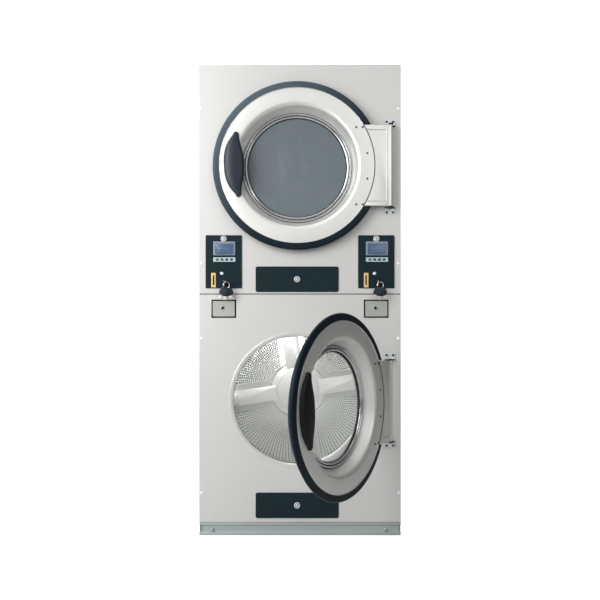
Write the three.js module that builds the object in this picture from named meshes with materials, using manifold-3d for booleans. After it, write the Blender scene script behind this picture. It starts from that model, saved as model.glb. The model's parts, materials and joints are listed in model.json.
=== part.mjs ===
// Coin-operated double stack tumble dryer: two identical drying pockets, one above the other, in one cabinet.
// Millimetres, +Z up, the front faces -Y. The origin is on the floor, at the centre of the footprint.
import * as THREE from 'three';
import { mergeVertices } from 'three/addons/utils/BufferGeometryUtils.js';
import Module from 'manifold-3d';

const wasm = await Module();
wasm.setup();

// Cabinet
const cabinetWidth = 880;
const cabinetDepth = 1130;
const cabinetHeight = 2054;
const sheet = 1.5;
const joint = 0.3;
const baseHeight = 57;
const basePlate = 3;
const panelGap = 2;
const deckZ = 1054;
const frontY = -cabinetDepth / 2;
const rearY = cabinetDepth / 2;
const sideX = cabinetWidth / 2;
const bulkheadY = 262;
const cutDepth = 20;

// The two pockets share one layout about the drum's axis
const drumX = -12.6;
const pockets = [
  { name: 'lower', drumZ: 590, floorZ: baseHeight, ceilingZ: deckZ, lintZ: 132, doorAngle: 56.7 },
  { name: 'upper', drumZ: 1607, floorZ: deckZ, ceilingZ: cabinetHeight - sheet, lintZ: 1118.5, doorAngle: 0 },
];

// Door: its own frame has the hinge axis as origin, with the door's centre at -hingeReach
const hingeReach = 404.6;
const hingeStandOff = 38;
const rimRadius = 365;
const rimBackRadius = 342;
const rimInner = 335.5;
const faceRadius = 335;
const coneRadius = 265;
const seatOuter = 242;
const seatInner = 217;
const faceStandOff = 40;
const rimStandOff = 42;
const backStandOff = 8;
const seatDepth = 12;
const doorSheet = 1.5;
const glassRadius = 229;
const glassThickness = 6;
const hingePlateHalf = 175;
const hingePlateReach = 292;
const hingePlateThickness = 3;
const barrelRadius = 7;
const barrelBore = 4.6;
const pinRadius = 4;
const bracketGap = 1.5;
const doorGap = 1;

// Drum and drive
const mouthRadius = 280;
const collarDepth = 38;
const drumRadius = 395;
const drumFrontY = frontY + collarDepth + 7;
const drumDepth = 750;
const drumSheet = 1.5;
const drumMouth = 300;
const lifterCount = 4;
const lifterHeight = 72;
const lifterTop = 26;
const lifterFoot = 64.25;
const lifterTurn = -8;
const lifterSetBack = 12;
const shaftRadius = 20;
const shaftBore = 20.5;
const drumPulleyRadius = 280;
const motorPulleyRadius = 35;
const beltY = 345;
const beltWidth = 25;
const motorX = 250;
const motorDrop = 400;
const motorRadius = 70;
const motorShaft = 10;

// Air path
const scrollRadius = 125;
const scrollY = 272;
const scrollWidth = 66;
const inletRadius = 75;
const wheelRadius = 105;
const bladeCount = 10;
const plenumX = -250;
const plenumSize = 200;
const ductRadius = 95;
const ductEndY = rearY + 40;

// Front fittings
const fittingX = 332.6;
const controlZ = 1194.7;
const controlWidth = 158;
const controlHeight = 231;
const controlThickness = 4;
const controlLand = [14, 7];
const buttonZ = 1204;
const buttonPitch = 20.4;
const buttonSize = [12, 8.5];
const buttonPlay = 0.5;
const keyOffset = 4.8;
const keyZ = 1100;
const keyPlug = 9;
const lintWidth = 362;
const lintHeight = 111;
const lintTray = [340, 560, 96];
const lintLockRadius = 13;
const vaultZ = 989.8;
const vaultFace = [96, 67.6];
const vaultGap = 6;
const vaultBox = [90, 160, 61];

const finishes = {
  cabinet: { color: 0xdcd9d2, roughness: 0.45, metalness: 0.1 },
  plinth: { color: 0xa3afaa, roughness: 0.5, metalness: 0.3 },
  stainless: { color: 0xd6d5d0, roughness: 0.3, metalness: 1 },
  galvanized: { color: 0xa9adae, roughness: 0.55, metalness: 0.9 },
  castIron: { color: 0x4a4c4e, roughness: 0.7, metalness: 0.6 },
  rim: { color: 0x24343c, roughness: 0.4, metalness: 0 },
  darkPanel: { color: 0x223238, roughness: 0.45, metalness: 0.1 },
  glass: { color: 0xdfe8ea, roughness: 0.05, metalness: 0 },
  rubber: { color: 0x1b1b1b, roughness: 0.9, metalness: 0 },
  paintedMotor: { color: 0x3c4a55, roughness: 0.55, metalness: 0.2 },
  chrome: { color: 0xc8cacc, roughness: 0.15, metalness: 1 },
  button: { color: 0x2a3440, roughness: 0.5, metalness: 0 },
};
const object = new THREE.Group();

// Facets of the large round pieces and of the small turned ones
const roundSides = 36;
const smallSides = 20;
const drumSides = 32;

function geometryVolume(position, index) {
  let volume = 0;
  const [a, b, c] = [new THREE.Vector3(), new THREE.Vector3(), new THREE.Vector3()];
  for (let i = 0; i < index.length; i += 3) {
    a.fromArray(position, index[i] * 3);
    b.fromArray(position, index[i + 1] * 3);
    c.fromArray(position, index[i + 2] * 3);
    volume += a.dot(b.cross(c));
  }
  return volume;
}

// A three.js geometry as a manifold solid, turned right side out
function solid(geometry) {
  geometry.deleteAttribute('normal');
  geometry.deleteAttribute('uv');
  const merged = mergeVertices(geometry);
  const vertProperties = new Float32Array(merged.attributes.position.array);
  const triVerts = new Uint32Array(merged.index.array);
  if (geometryVolume(vertProperties, triVerts) < 0) triVerts.reverse();
  return new wasm.Manifold(new wasm.Mesh({ numProp: 3, vertProperties, triVerts }));
}

function add(parent, name, shape, finish) {
  const { vertProperties, triVerts } = shape.getMesh();
  const geometry = new THREE.BufferGeometry();
  geometry.setAttribute('position', new THREE.BufferAttribute(vertProperties, 3));
  geometry.setIndex(new THREE.BufferAttribute(triVerts, 1));
  geometry.computeVertexNormals();
  const mesh = new THREE.Mesh(geometry, new THREE.MeshStandardMaterial(finishes[finish]));
  mesh.name = name;
  parent.add(mesh);
}

// A box between two limits on each axis
function block(x, y, z) {
  const geometry = new THREE.BoxGeometry(x[1] - x[0], y[1] - y[0], z[1] - z[0]);
  geometry.translate((x[0] + x[1]) / 2, (y[0] + y[1]) / 2, (z[0] + z[1]) / 2);
  return solid(geometry);
}

// A round bar along Y
function barY(radius, y, x = 0, z = 0, sides = 20) {
  const geometry = new THREE.CylinderGeometry(radius, radius, y[1] - y[0], sides);
  geometry.translate(x, (y[0] + y[1]) / 2, z);
  return solid(geometry);
}

// A round bar along Z
function barZ(radius, z, x = 0, y = 0, sides = 16) {
  const geometry = new THREE.CylinderGeometry(radius, radius, z[1] - z[0], sides);
  geometry.rotateX(Math.PI / 2);
  geometry.translate(x, y, (z[0] + z[1]) / 2);
  return solid(geometry);
}

// A profile of [radius, y] points turned about the Y axis
function turned(profile, sides = roundSides, x = 0, z = 0) {
  const points = profile.map(([radius, y]) => new THREE.Vector2(radius, y));
  if (points[0].x > 0) points.push(points[0].clone());
  const geometry = new THREE.LatheGeometry(points, sides);
  geometry.translate(x, 0, z);
  return solid(geometry);
}

// An outline in X and Z, given thickness from its back face at y towards the front
function plateXZ(outline, y, thickness, bevel = 0, curveSegments = 2) {
  const options = { depth: thickness - 2 * bevel, bevelEnabled: bevel > 0, curveSegments };
  const rounding = { bevelThickness: bevel, bevelSize: bevel, bevelOffset: -bevel, bevelSegments: 1 };
  const geometry = new THREE.ExtrudeGeometry(outline, { ...options, ...rounding });
  geometry.rotateX(Math.PI / 2);
  geometry.translate(0, y - bevel, 0);
  return solid(geometry);
}

// A rectangle with round corners, centred on x, z
function roundedRectangle(width, height, radius, x = 0, z = 0) {
  const [w, h] = [width / 2 - radius, height / 2 - radius];
  const outline = new THREE.Shape();
  outline.absarc(x + w, z + h, radius, 0, Math.PI / 2);
  outline.absarc(x - w, z + h, radius, Math.PI / 2, Math.PI);
  outline.absarc(x - w, z - h, radius, Math.PI, 1.5 * Math.PI);
  outline.absarc(x + w, z - h, radius, 1.5 * Math.PI, 2 * Math.PI);
  outline.closePath();
  return outline;
}

// ---------------------------------------------------------------- cabinet
// A shallow pan open below, with a rail across the floor at its centre
function baseFrame() {
  const railHalf = 50;
  const railHeight = 6;
  const outer = block([-sideX, sideX], [frontY, rearY], [0, baseHeight]);
  const inside = [sideX - basePlate, rearY - basePlate];
  const hollow = block([-inside[0], inside[0]], [-inside[1], inside[1]], [-cutDepth, baseHeight - basePlate]);
  const rail = block([-inside[0] - 1, inside[0] + 1], [-railHalf, railHalf], [0, railHeight]);
  return outer.subtract(hollow).add(rail);
}

function frontPanel(pocket) {
  const z = [pocket.floorZ + panelGap, pocket.ceilingZ - panelGap];
  const y = [frontY, frontY + sheet];
  const collar = turned([
    [mouthRadius, y[0]],
    [mouthRadius + sheet, y[0]],
    [mouthRadius + sheet, y[0] + collarDepth],
    [mouthRadius, y[0] + collarDepth],
  ], roundSides, drumX, pocket.drumZ);
  const through = [y[0] - cutDepth, y[1] + cutDepth];
  const opening = (x, height, halfWidth, halfHeight) =>
    block([x - halfWidth, x + halfWidth], through, [height - halfHeight, height + halfHeight]);
  const lintGap = 3;
  let panel = block([-sideX, sideX], y, z);
  panel = panel.subtract(barY(mouthRadius + 1, through, drumX, pocket.drumZ, roundSides)).add(collar);
  panel = panel.subtract(opening(drumX, pocket.lintZ, lintTray[0] / 2 + lintGap, lintTray[2] / 2 + lintGap));
  for (const x of [-fittingX, fittingX]) {
    if (pocket.name === 'lower') {
      panel = panel.subtract(opening(x, vaultZ, vaultFace[0] / 2 + vaultGap, vaultFace[1] / 2 + vaultGap));
    } else {
      const [land, foot] = controlLand;
      panel = panel.subtract(opening(x, controlZ, controlWidth / 2 - land, controlHeight / 2 - foot));
    }
  }
  return panel;
}

function bulkhead(pocket) {
  const shaftGap = 12;
  const inletGap = 5;
  const z = [pocket.floorZ + 1, pocket.ceilingZ - 1];
  const wall = block([-sideX + 2 * sheet, sideX - 2 * sheet], [bulkheadY, bulkheadY + sheet], z);
  const through = [bulkheadY - cutDepth, bulkheadY + cutDepth];
  const shaftHole = barY(shaftRadius + shaftGap, through, drumX, pocket.drumZ);
  const inlet = barY(inletRadius + inletGap, through, drumX + motorX, pocket.drumZ - motorDrop);
  return wall.subtract(shaftHole).subtract(inlet);
}

function rearPanel() {
  const ductGap = 3;
  let panel = block([-sideX, sideX], [rearY - sheet, rearY], wallZ);
  for (const pocket of pockets) {
    const z = pocket.drumZ - motorDrop - ductDrop;
    const through = [rearY - cutDepth, rearY + cutDepth];
    panel = panel.subtract(barY(ductRadius + ductGap, through, drumX + plenumX, z));
  }
  return panel;
}

const ductDrop = scrollRadius - plenumSize / 2;
const wallY = [frontY + sheet + joint, rearY - sheet - joint];
const wallZ = [baseHeight + joint, cabinetHeight - sheet - joint];
add(object, 'base_frame', baseFrame(), 'plinth');
add(object, 'left_side_panel', block([-sideX, -sideX + sheet], wallY, wallZ), 'cabinet');
add(object, 'right_side_panel', block([sideX - sheet, sideX], wallY, wallZ), 'cabinet');
add(object, 'rear_panel', rearPanel(), 'galvanized');
const topZ = [cabinetHeight - sheet, cabinetHeight];
add(object, 'top_panel', block([-sideX, sideX], [frontY, rearY], topZ), 'cabinet');
const deckX = [-sideX + sheet + joint, sideX - sheet - joint];
add(object, 'mid_deck', block(deckX, wallY, [deckZ - sheet / 2, deckZ + sheet / 2]), 'galvanized');

// ---------------------------------------------------------------- door, about its hinge axis
// Turns "distance in front of the panel" into the door frame's y
function doorY(standOff) {
  return hingeStandOff - standOff;
}

function doorRim() {
  const back = doorY(backStandOff);
  const front = doorY(rimStandOff);
  const shoulder = 11;
  const crown = 9;
  const ease = 5;
  const ring = turned([
    [rimInner, back],
    [rimBackRadius, back],
    [rimRadius, front + shoulder],
    [rimRadius - 2, front + 3],
    [rimRadius - crown, front],
    [rimInner + ease, front],
    [rimInner, front + ease - 1],
  ], roundSides, -hingeReach);
  const half = hingePlateHalf + 2 * doorGap;
  const gapX = [-hingeReach + coneRadius, barrelRadius];
  return ring.subtract(block(gapX, [front - cutDepth, back + cutDepth], [-half, half]));
}

function doorFrame() {
  const face = doorY(faceStandOff);
  const back = doorY(backStandOff);
  const slope = 1.2;
  const seat = doorY(-seatDepth);
  const shell = turned([
    [faceRadius, back],
    [faceRadius, face],
    [coneRadius, face],
    [seatOuter, seat],
    [seatInner, seat],
    [seatInner, seat + doorSheet],
    [seatOuter + slope, seat + doorSheet],
    [coneRadius + slope, face + doorSheet],
    [faceRadius - doorSheet, face + doorSheet],
    [faceRadius - doorSheet, back],
  ], roundSides, -hingeReach);
  const half = hingePlateHalf + doorGap;
  const slotX = [-hingeReach + coneRadius + cutDepth, 0];
  const slot = block(slotX, [face + doorSheet + 0.1, back + cutDepth], [-half, half]);
  return shell.subtract(slot);
}

function doorGlass() {
  const seat = doorY(-seatDepth) + doorSheet + joint + 0.1;
  return barY(glassRadius, [seat, seat + glassThickness], -hingeReach, 0, roundSides);
}

// A crescent pull on the face ring, overhanging the cone so that fingers reach in behind it
function doorHandle() {
  const tipHeight = 128;
  const tipRadius = 13;
  const outerX = -316;
  const tipX = -258;
  const innerX = -228;
  const thickness = 20;
  const rounding = 5;
  const tilt = 2.5;
  const rise = 14;
  const outerSweep = tipHeight * 0.62;
  const innerSweep = tipHeight * 0.6;
  const outline = new THREE.Shape();
  outline.moveTo(tipX - tipRadius, tipHeight);
  outline.quadraticCurveTo(outerX - 4, outerSweep, outerX, 0);
  outline.quadraticCurveTo(outerX - 4, -outerSweep, tipX - tipRadius, -tipHeight);
  outline.absarc(tipX, -tipHeight, tipRadius, Math.PI, 2 * Math.PI);
  outline.bezierCurveTo(tipX + tipRadius, -innerSweep, innerX, -innerSweep, innerX, 0);
  outline.bezierCurveTo(innerX, innerSweep, tipX + tipRadius, innerSweep, tipX + tipRadius, tipHeight);
  outline.absarc(tipX, tipHeight, tipRadius, 0, Math.PI);
  const pull = plateXZ(outline, 0, thickness, rounding, 5);
  return pull.rotate([0, -tilt, 0]).translate([-hingeReach, doorY(faceStandOff + joint), rise]);
}

// A plate whose tongue lies behind the face ring and whose outer part is flush with it, rolled into a barrel
// round the hinge axis
function hingePlate() {
  const face = doorY(faceStandOff);
  const tongue = [face + doorSheet + joint, face + doorSheet + joint + hingePlateThickness];
  const end = -barrelBore - 1;
  const z = [-hingePlateHalf, hingePlateHalf];
  const plate = block([-hingeReach + hingePlateReach, end], tongue, z);
  const inside = barY(faceRadius + 1.5, [face - cutDepth, tongue[1] + cutDepth], -hingeReach, 0, roundSides);
  const pad = block([-hingeReach + hingePlateReach - 10, end], [face, tongue[1]], z).subtract(inside);
  const barrel = barZ(barrelRadius, z);
  const bore = barZ(barrelBore, [-hingePlateHalf - cutDepth, hingePlateHalf + cutDepth]);
  return plate.add(pad).add(barrel).subtract(bore);
}

// A flange on the front panel with a ledge and an arm along its edge next to the door. The arm's nose
// carries a pin that reaches into the barrel. The bottom bracket is the top one upside down.
function hingeBracket(pocket, isTop) {
  const axisX = drumX + hingeReach;
  const axisY = frontY - hingeStandOff;
  const thickness = 3;
  const armThickness = 5;
  const armHalf = 9;
  const flangeHalf = 23;
  const flangeHeight = 30;
  const ledgeDepth = 12;
  const noseRadius = 10;
  const pinReach = 18;
  const near = hingePlateHalf + bracketGap;
  const across = (half) => [axisX - half, axisX + half];
  const span = (from, to) => {
    const heights = isTop ? [near + from, near + to] : [-near - to, -near - from];
    return heights.map((height) => pocket.drumZ + height);
  };
  const flangeY = [frontY - joint - thickness, frontY - joint];
  const flange = block(across(flangeHalf), flangeY, span(0, flangeHeight));
  const ledge = block(across(flangeHalf), [frontY - ledgeDepth, flangeY[1]], span(0, thickness));
  const arm = block(across(armHalf), [axisY, flangeY[1]], span(0, armThickness));
  const nose = barZ(noseRadius, span(0, armThickness), axisX, axisY);
  const pin = barZ(pinRadius, span(-pinReach, 1), axisX, axisY);
  return flange.add(ledge).add(arm).add(nose).add(pin);
}

// ---------------------------------------------------------------- drum, about the pocket's axis
function drum() {
  const [front, rear] = [drumFrontY, drumFrontY + drumDepth];
  let shell = turned([
    [0, rear - drumSheet],
    [drumRadius - drumSheet, rear - drumSheet],
    [drumRadius - drumSheet, front + drumSheet],
    [drumMouth, front + drumSheet],
    [drumMouth, front],
    [drumRadius, front],
    [drumRadius, rear],
    [0, rear],
  ], drumSides);
  const bar = lifterBar(0, rear - 1).subtract(lifterBar(drumSheet, rear + 1));
  const trim = barY(drumRadius - 1, [front + 1, rear], 0, 0, drumSides);
  for (let i = 0; i < lifterCount; i += 1) {
    shell = shell.add(bar.rotate([0, (360 / lifterCount) * i + lifterTurn, 0]).intersect(trim));
  }
  return shell;
}

// The prism of one lifter, drawn in from its sloping sides and top by a wall. The hollow one runs out past
// the front end, so a lifter is an open channel of sheet on the drum's wall.
function lifterBar(inset, rear) {
  const slope = (lifterFoot - lifterTop) / lifterHeight;
  const across = inset * Math.hypot(1, slope);
  const top = lifterTop + inset * slope - across;
  const outline = new THREE.Shape();
  outline.moveTo(across - lifterFoot, drumRadius);
  outline.lineTo(-top, drumRadius - lifterHeight + inset);
  outline.lineTo(top, drumRadius - lifterHeight + inset);
  outline.lineTo(lifterFoot - across, drumRadius);
  outline.closePath();
  return plateXZ(outline, rear, inset > 0 ? drumDepth : drumDepth - lifterSetBack);
}

function drumShaft() {
  const start = drumFrontY + drumDepth + joint;
  const flangeRadius = 90;
  const flangeThickness = 8;
  const neck = 15;
  const end = beltY + beltWidth + 25;
  return turned([
    [0, start],
    [flangeRadius, start],
    [flangeRadius, start + flangeThickness],
    [shaftRadius + neck, start + 14],
    [shaftRadius, start + flangeThickness + 14],
    [shaftRadius, end],
    [0, end],
  ], smallSides);
}

function bearingHousing() {
  const start = bulkheadY + sheet + joint;
  const end = beltY - 12;
  const flangeRadius = 75;
  const flangeThickness = 8;
  const bodyRadius = 42;
  return turned([
    [shaftBore, start],
    [flangeRadius, start],
    [flangeRadius, start + flangeThickness],
    [bodyRadius + 4, start + 14],
    [bodyRadius, end],
    [shaftBore, end],
  ], smallSides);
}

function drumPulley() {
  const hub = 46;
  const hubEnd = beltY + beltWidth + 6;
  const rim = drumPulleyRadius - 16;
  const web = [beltY + beltWidth / 2 - 2, beltY + beltWidth / 2 + 2];
  return turned([
    [shaftBore, web[0]],
    [rim, web[0]],
    [rim, beltY],
    [drumPulleyRadius, beltY],
    [drumPulleyRadius, beltY + beltWidth],
    [rim, beltY + beltWidth],
    [rim, web[1]],
    [hub, web[1]],
    [hub, hubEnd],
    [shaftBore, hubEnd],
  ]);
}

function motorPulley() {
  const front = scrollY + 30;
  const end = beltY + beltWidth + 9;
  return turned([
    [0, front],
    [motorShaft, front],
    [motorShaft, beltY],
    [motorPulleyRadius, beltY],
    [motorPulleyRadius, beltY + beltWidth],
    [motorShaft, beltY + beltWidth],
    [motorShaft, end],
    [0, end],
  ], smallSides);
}

// The outline of a loop round both pulleys, standing off their rims
function beltLoop(standOff) {
  const [large, small] = [drumPulleyRadius + standOff, motorPulleyRadius + standOff];
  const distance = Math.hypot(motorX, motorDrop);
  const centreLine = Math.atan2(-motorDrop, motorX);
  const wrap = Math.acos((large - small) / distance);
  const outline = new THREE.Shape();
  outline.absarc(0, 0, large, centreLine + wrap, centreLine - wrap + 2 * Math.PI);
  outline.absarc(motorX, -motorDrop, small, centreLine - wrap, centreLine + wrap);
  outline.closePath();
  return outline;
}

function belt() {
  const beltSegments = 10;
  const standOff = 2.5;
  const thickness = 5.5;
  const y = beltY + beltWidth - 3;
  const outer = plateXZ(beltLoop(standOff + thickness), y, beltWidth - 6, 0, beltSegments);
  return outer.subtract(plateXZ(beltLoop(standOff), y + 5, beltWidth + 4, 0, beltSegments));
}

function motor(pocket) {
  const start = beltY + beltWidth + 10;
  const end = rearY - 20;
  const floor = pocket.floorZ + 2 - pocket.drumZ;
  const nose = 36;
  const taper = 16;
  const legHalf = 50;
  const body = turned([
    [0, start],
    [nose, start],
    [motorRadius, start + taper],
    [motorRadius, end - taper],
    [motorRadius - taper, end],
    [0, end],
  ], smallSides, motorX, -motorDrop);
  const footX = [motorX - motorRadius, motorX + motorRadius];
  const foot = block(footX, [start + 30, end - 30], [floor, floor + 4]);
  const legX = [motorX - legHalf, motorX + legHalf];
  const legs = block(legX, [start + 50, start + 62], [floor, -motorDrop - 30]);
  return body.add(legs).add(foot);
}

function blowerWheel() {
  const back = scrollY + scrollWidth - 14;
  const front = scrollY + 12;
  const hub = 26;
  const bladeStart = 62;
  const bladeMiddle = 84;
  const bladeSweep = 35;
  let wheel = barY(wheelRadius, [back, back + 3]);
  wheel = wheel.add(barY(hub, [scrollY + 28, back + 1]));
  const blade = block([bladeStart, wheelRadius - 1], [front, back + 1], [-1.5, 1.5]);
  const turnedBlade = blade.translate([-bladeMiddle, 0, 0]).rotate([0, bladeSweep, 0]);
  const swept = turnedBlade.translate([bladeMiddle, 0, 0]);
  for (let i = 0; i < bladeCount; i += 1) {
    wheel = wheel.add(swept.rotate([0, (360 / bladeCount) * i, 0]));
  }
  wheel = wheel.intersect(barY(wheelRadius, [front - 1, back + 4]));
  return wheel.subtract(barY(motorShaft + 0.5, [front - 5, back + 10])).translate([motorX, 0, -motorDrop]);
}

// A scroll round the wheel, a flat duct across the back and a round stub out through the rear panel
function exhaustDuct() {
  const floor = -motorDrop - scrollRadius;
  const y = [scrollY, scrollY + scrollWidth];
  const ductTop = floor + 90;
  const plenumEnd = 440;
  const stubZ = floor + plenumSize / 2;
  const left = plenumX - plenumSize / 2;
  const build = (inset) => {
    const span = [y[0] + inset, y[1] - inset];
    const scroll = barY(scrollRadius - inset, span, motorX, -motorDrop);
    const run = block([plenumX, motorX], span, [floor + inset, ductTop - inset]);
    const plenumBox = block(
      [left + inset, left + plenumSize - inset],
      [y[0] + inset, plenumEnd - inset],
      [floor + inset, floor + plenumSize - inset],
    );
    const stub = barY(ductRadius - inset, [plenumEnd - 30, ductEndY + inset], plenumX, stubZ);
    return scroll.add(run).add(plenumBox).add(stub);
  };
  const inlet = barY(inletRadius, [y[0] - 5, y[0] + 10], motorX, -motorDrop);
  const shaftGap = 12;
  const shaftHole = barY(motorShaft + shaftGap, [y[1] - 10, y[1] + 5], motorX, -motorDrop, 16);
  return build(0).subtract(build(sheet)).subtract(inlet).subtract(shaftHole);
}

// ---------------------------------------------------------------- lint drawer, about the centre of its face
function lintDrawer() {
  const [width, length, height] = lintTray;
  const wall = 2;
  const face = plateXZ(roundedRectangle(lintWidth, lintHeight, 8), frontY - joint, 3);
  const tray = block([-width / 2, width / 2], [frontY - 1, frontY + length], [-height / 2, height / 2]);
  const inside = [width / 2 - wall, height / 2 - wall];
  const hollow = block([-inside[0], inside[0]], [frontY + 1, frontY + length - wall], [-inside[1], height]);
  const lockHole = barY(lintLockRadius + 0.5, [frontY - cutDepth, frontY + cutDepth], 0, 0, 16);
  return face.add(tray.subtract(hollow)).subtract(lockHole);
}

// A cam lock: a round plug with a short cam behind the face
function lintLock() {
  const head = barY(lintLockRadius, [frontY - 7, frontY + 16]);
  const keyway = block([-1.5, 1.5], [frontY - 10, frontY - 4], [-7, 7]);
  const cam = block([-8, 8], [frontY + 12, frontY + 16], [-8, 34]);
  return head.subtract(keyway).add(cam);
}

// ---------------------------------------------------------------- control plates and coin vaults
function controlPlate() {
  const outline = roundedRectangle(controlWidth, controlHeight, 4, 0, controlZ);
  let plate = plateXZ(outline, frontY - joint, controlThickness);
  const through = [frontY - cutDepth, frontY + cutDepth];
  const half = [buttonSize[0] / 2 + buttonPlay, buttonSize[1] / 2 + buttonPlay];
  const slotZ = [buttonZ - half[1], buttonZ + half[1]];
  for (const x of buttonPlaces()) {
    plate = plate.subtract(block([x - half[0], x + half[0]], through, slotZ));
  }
  plate = plate.subtract(barY(keyPlug + 0.6, through, keyOffset, keyZ, 16));
  return plate;
}

function buttonPlaces() {
  const centre = 3;
  return [-1.5, -0.5, 0.5, 1.5].map((step) => centre + step * buttonPitch);
}

function button(x) {
  const [w, h] = [buttonSize[0] / 2, buttonSize[1] / 2];
  const cap = block([x - w, x + w], [frontY - 8.3, frontY + 3], [buttonZ - h, buttonZ + h]);
  const flange = block([x - w - 2, x + w + 2], [frontY + 1, frontY + 3], [buttonZ - h - 2, buttonZ + h + 2]);
  return cap.add(flange);
}

// The plug of the key switch with its key in it: a flat round bow with a ring hole, on a short blade
function keySwitch() {
  const bowY = frontY - 30;
  const bowRadius = 12;
  const half = 1.25;
  const acrossX = (radius, reach) => barY(radius, [-reach, reach], 0, 0, 20).rotate([0, 0, 90]);
  const plug = barY(keyPlug, [frontY - 9, frontY + 22], 0, 0, 20);
  const blade = block([-half, half], [bowY + bowRadius - 3, frontY - 5], [-4, 4]);
  const bow = acrossX(bowRadius, half).subtract(acrossX(3.5, half + 2).translate([0, -5, 0]));
  return plug.add(blade).add(bow.translate([0, bowY, 0])).translate([keyOffset, 0, keyZ]);
}

// A cash drawer: a thick face with an open box behind it
function coinVault() {
  const [width, length, height] = vaultBox;
  const wall = 2;
  const face = plateXZ(roundedRectangle(vaultFace[0], vaultFace[1], 2, 0, vaultZ), frontY - 1, 4);
  const z = [vaultZ - height / 2, vaultZ + height / 2];
  const box = block([-width / 2, width / 2], [frontY - 2, frontY + length], z);
  const hollow = block(
    [-width / 2 + wall, width / 2 - wall],
    [frontY + 3, frontY + length - wall],
    [z[0] + wall, z[1] + 10],
  );
  return face.add(box.subtract(hollow));
}

// ---------------------------------------------------------------- assembly
for (const pocket of pockets) {
  const { name, drumZ, lintZ, doorAngle } = pocket;
  add(object, `${name}_front_panel`, frontPanel(pocket), 'cabinet');
  add(object, `${name}_bulkhead`, bulkhead(pocket), 'galvanized');
  add(object, `${name}_hinge_bracket_top`, hingeBracket(pocket, true), 'stainless');
  add(object, `${name}_hinge_bracket_bottom`, hingeBracket(pocket, false), 'stainless');

  const door = new THREE.Group();
  door.position.set(drumX + hingeReach, frontY - hingeStandOff, drumZ);
  door.rotation.z = THREE.MathUtils.degToRad(doorAngle);
  object.add(door);
  add(door, `${name}_door_rim`, doorRim(), 'rim');
  add(door, `${name}_door_frame`, doorFrame(), 'stainless');
  add(door, `${name}_door_glass`, doorGlass(), 'glass');
  add(door, `${name}_door_handle`, doorHandle(), 'darkPanel');
  add(door, `${name}_hinge_plate`, hingePlate(), 'stainless');

  const axis = new THREE.Group();
  axis.position.set(drumX, 0, drumZ);
  object.add(axis);
  add(axis, `${name}_drum`, drum(), 'stainless');
  add(axis, `${name}_drum_shaft`, drumShaft(), 'chrome');
  add(axis, `${name}_bearing_housing`, bearingHousing(), 'castIron');
  add(axis, `${name}_drum_pulley`, drumPulley(), 'castIron');
  add(axis, `${name}_belt`, belt(), 'rubber');
  add(axis, `${name}_motor`, motor(pocket), 'paintedMotor');
  add(axis, `${name}_motor_pulley`, motorPulley().translate([motorX, 0, -motorDrop]), 'castIron');
  add(axis, `${name}_blower_wheel`, blowerWheel(), 'galvanized');
  add(axis, `${name}_exhaust_duct`, exhaustDuct(), 'galvanized');

  const drawer = new THREE.Group();
  drawer.position.set(drumX, 0, lintZ);
  object.add(drawer);
  add(drawer, `${name}_lint_drawer`, lintDrawer(), 'darkPanel');
  add(drawer, `${name}_lint_lock`, lintLock(), 'chrome');
}

for (const [side, x] of [['left', -fittingX], ['right', fittingX]]) {
  const station = new THREE.Group();
  station.position.x = x;
  object.add(station);
  add(station, `${side}_control_plate`, controlPlate(), 'darkPanel');
  add(station, `${side}_key_switch`, keySwitch(), 'chrome');
  add(station, `${side}_coin_vault`, coinVault(), 'cabinet');
  buttonPlaces().forEach((place, i) => add(station, `${side}_button_${i + 1}`, button(place), 'button'));
}

export default object;
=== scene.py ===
import json
import math

import bmesh
import bpy
import numpy as np
from mathutils import Matrix, Vector


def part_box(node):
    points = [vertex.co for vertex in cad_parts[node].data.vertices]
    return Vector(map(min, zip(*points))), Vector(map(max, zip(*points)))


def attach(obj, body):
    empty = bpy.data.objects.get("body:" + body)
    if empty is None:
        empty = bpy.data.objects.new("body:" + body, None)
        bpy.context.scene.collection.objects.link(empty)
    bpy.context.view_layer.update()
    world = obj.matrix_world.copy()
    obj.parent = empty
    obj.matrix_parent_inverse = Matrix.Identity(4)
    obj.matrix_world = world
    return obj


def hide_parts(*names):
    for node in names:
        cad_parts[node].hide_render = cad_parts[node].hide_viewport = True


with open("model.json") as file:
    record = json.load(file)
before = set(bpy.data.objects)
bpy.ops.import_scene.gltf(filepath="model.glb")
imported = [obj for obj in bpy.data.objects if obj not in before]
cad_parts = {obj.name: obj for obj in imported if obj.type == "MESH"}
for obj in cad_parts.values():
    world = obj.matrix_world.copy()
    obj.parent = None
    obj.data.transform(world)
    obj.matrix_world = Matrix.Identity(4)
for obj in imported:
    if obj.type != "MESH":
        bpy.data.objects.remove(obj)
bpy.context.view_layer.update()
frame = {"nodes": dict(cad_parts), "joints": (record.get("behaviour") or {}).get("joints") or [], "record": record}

# Lengths are millimetres until piece() and finished() turn them into metres.
JOINTS = {j["name"]: j for j in frame["joints"]}
BODY_OF = {node: body for body, nodes in frame["record"]["behaviour"]["bodies"].items() for node in nodes}
POCKETS = ("lower", "upper")
SIDES = ("left", "right")
M = 1000.0


def limits(name):
    """A CAD node's lowest and highest corner, in millimetres."""
    low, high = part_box(name)
    return np.array(low) * M, np.array(high) * M


def middle(name):
    low, high = limits(name)
    return (low + high) / 2


FRONT = limits("lower_front_panel")[0][1]
BACK = limits("rear_panel")[1][1]
HALF = limits("top_panel")[1][0]
TOP = limits("top_panel")[1][2]
BASE_TOP = limits("base_frame")[1][2]
DECK = middle("mid_deck")[2]


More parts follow.
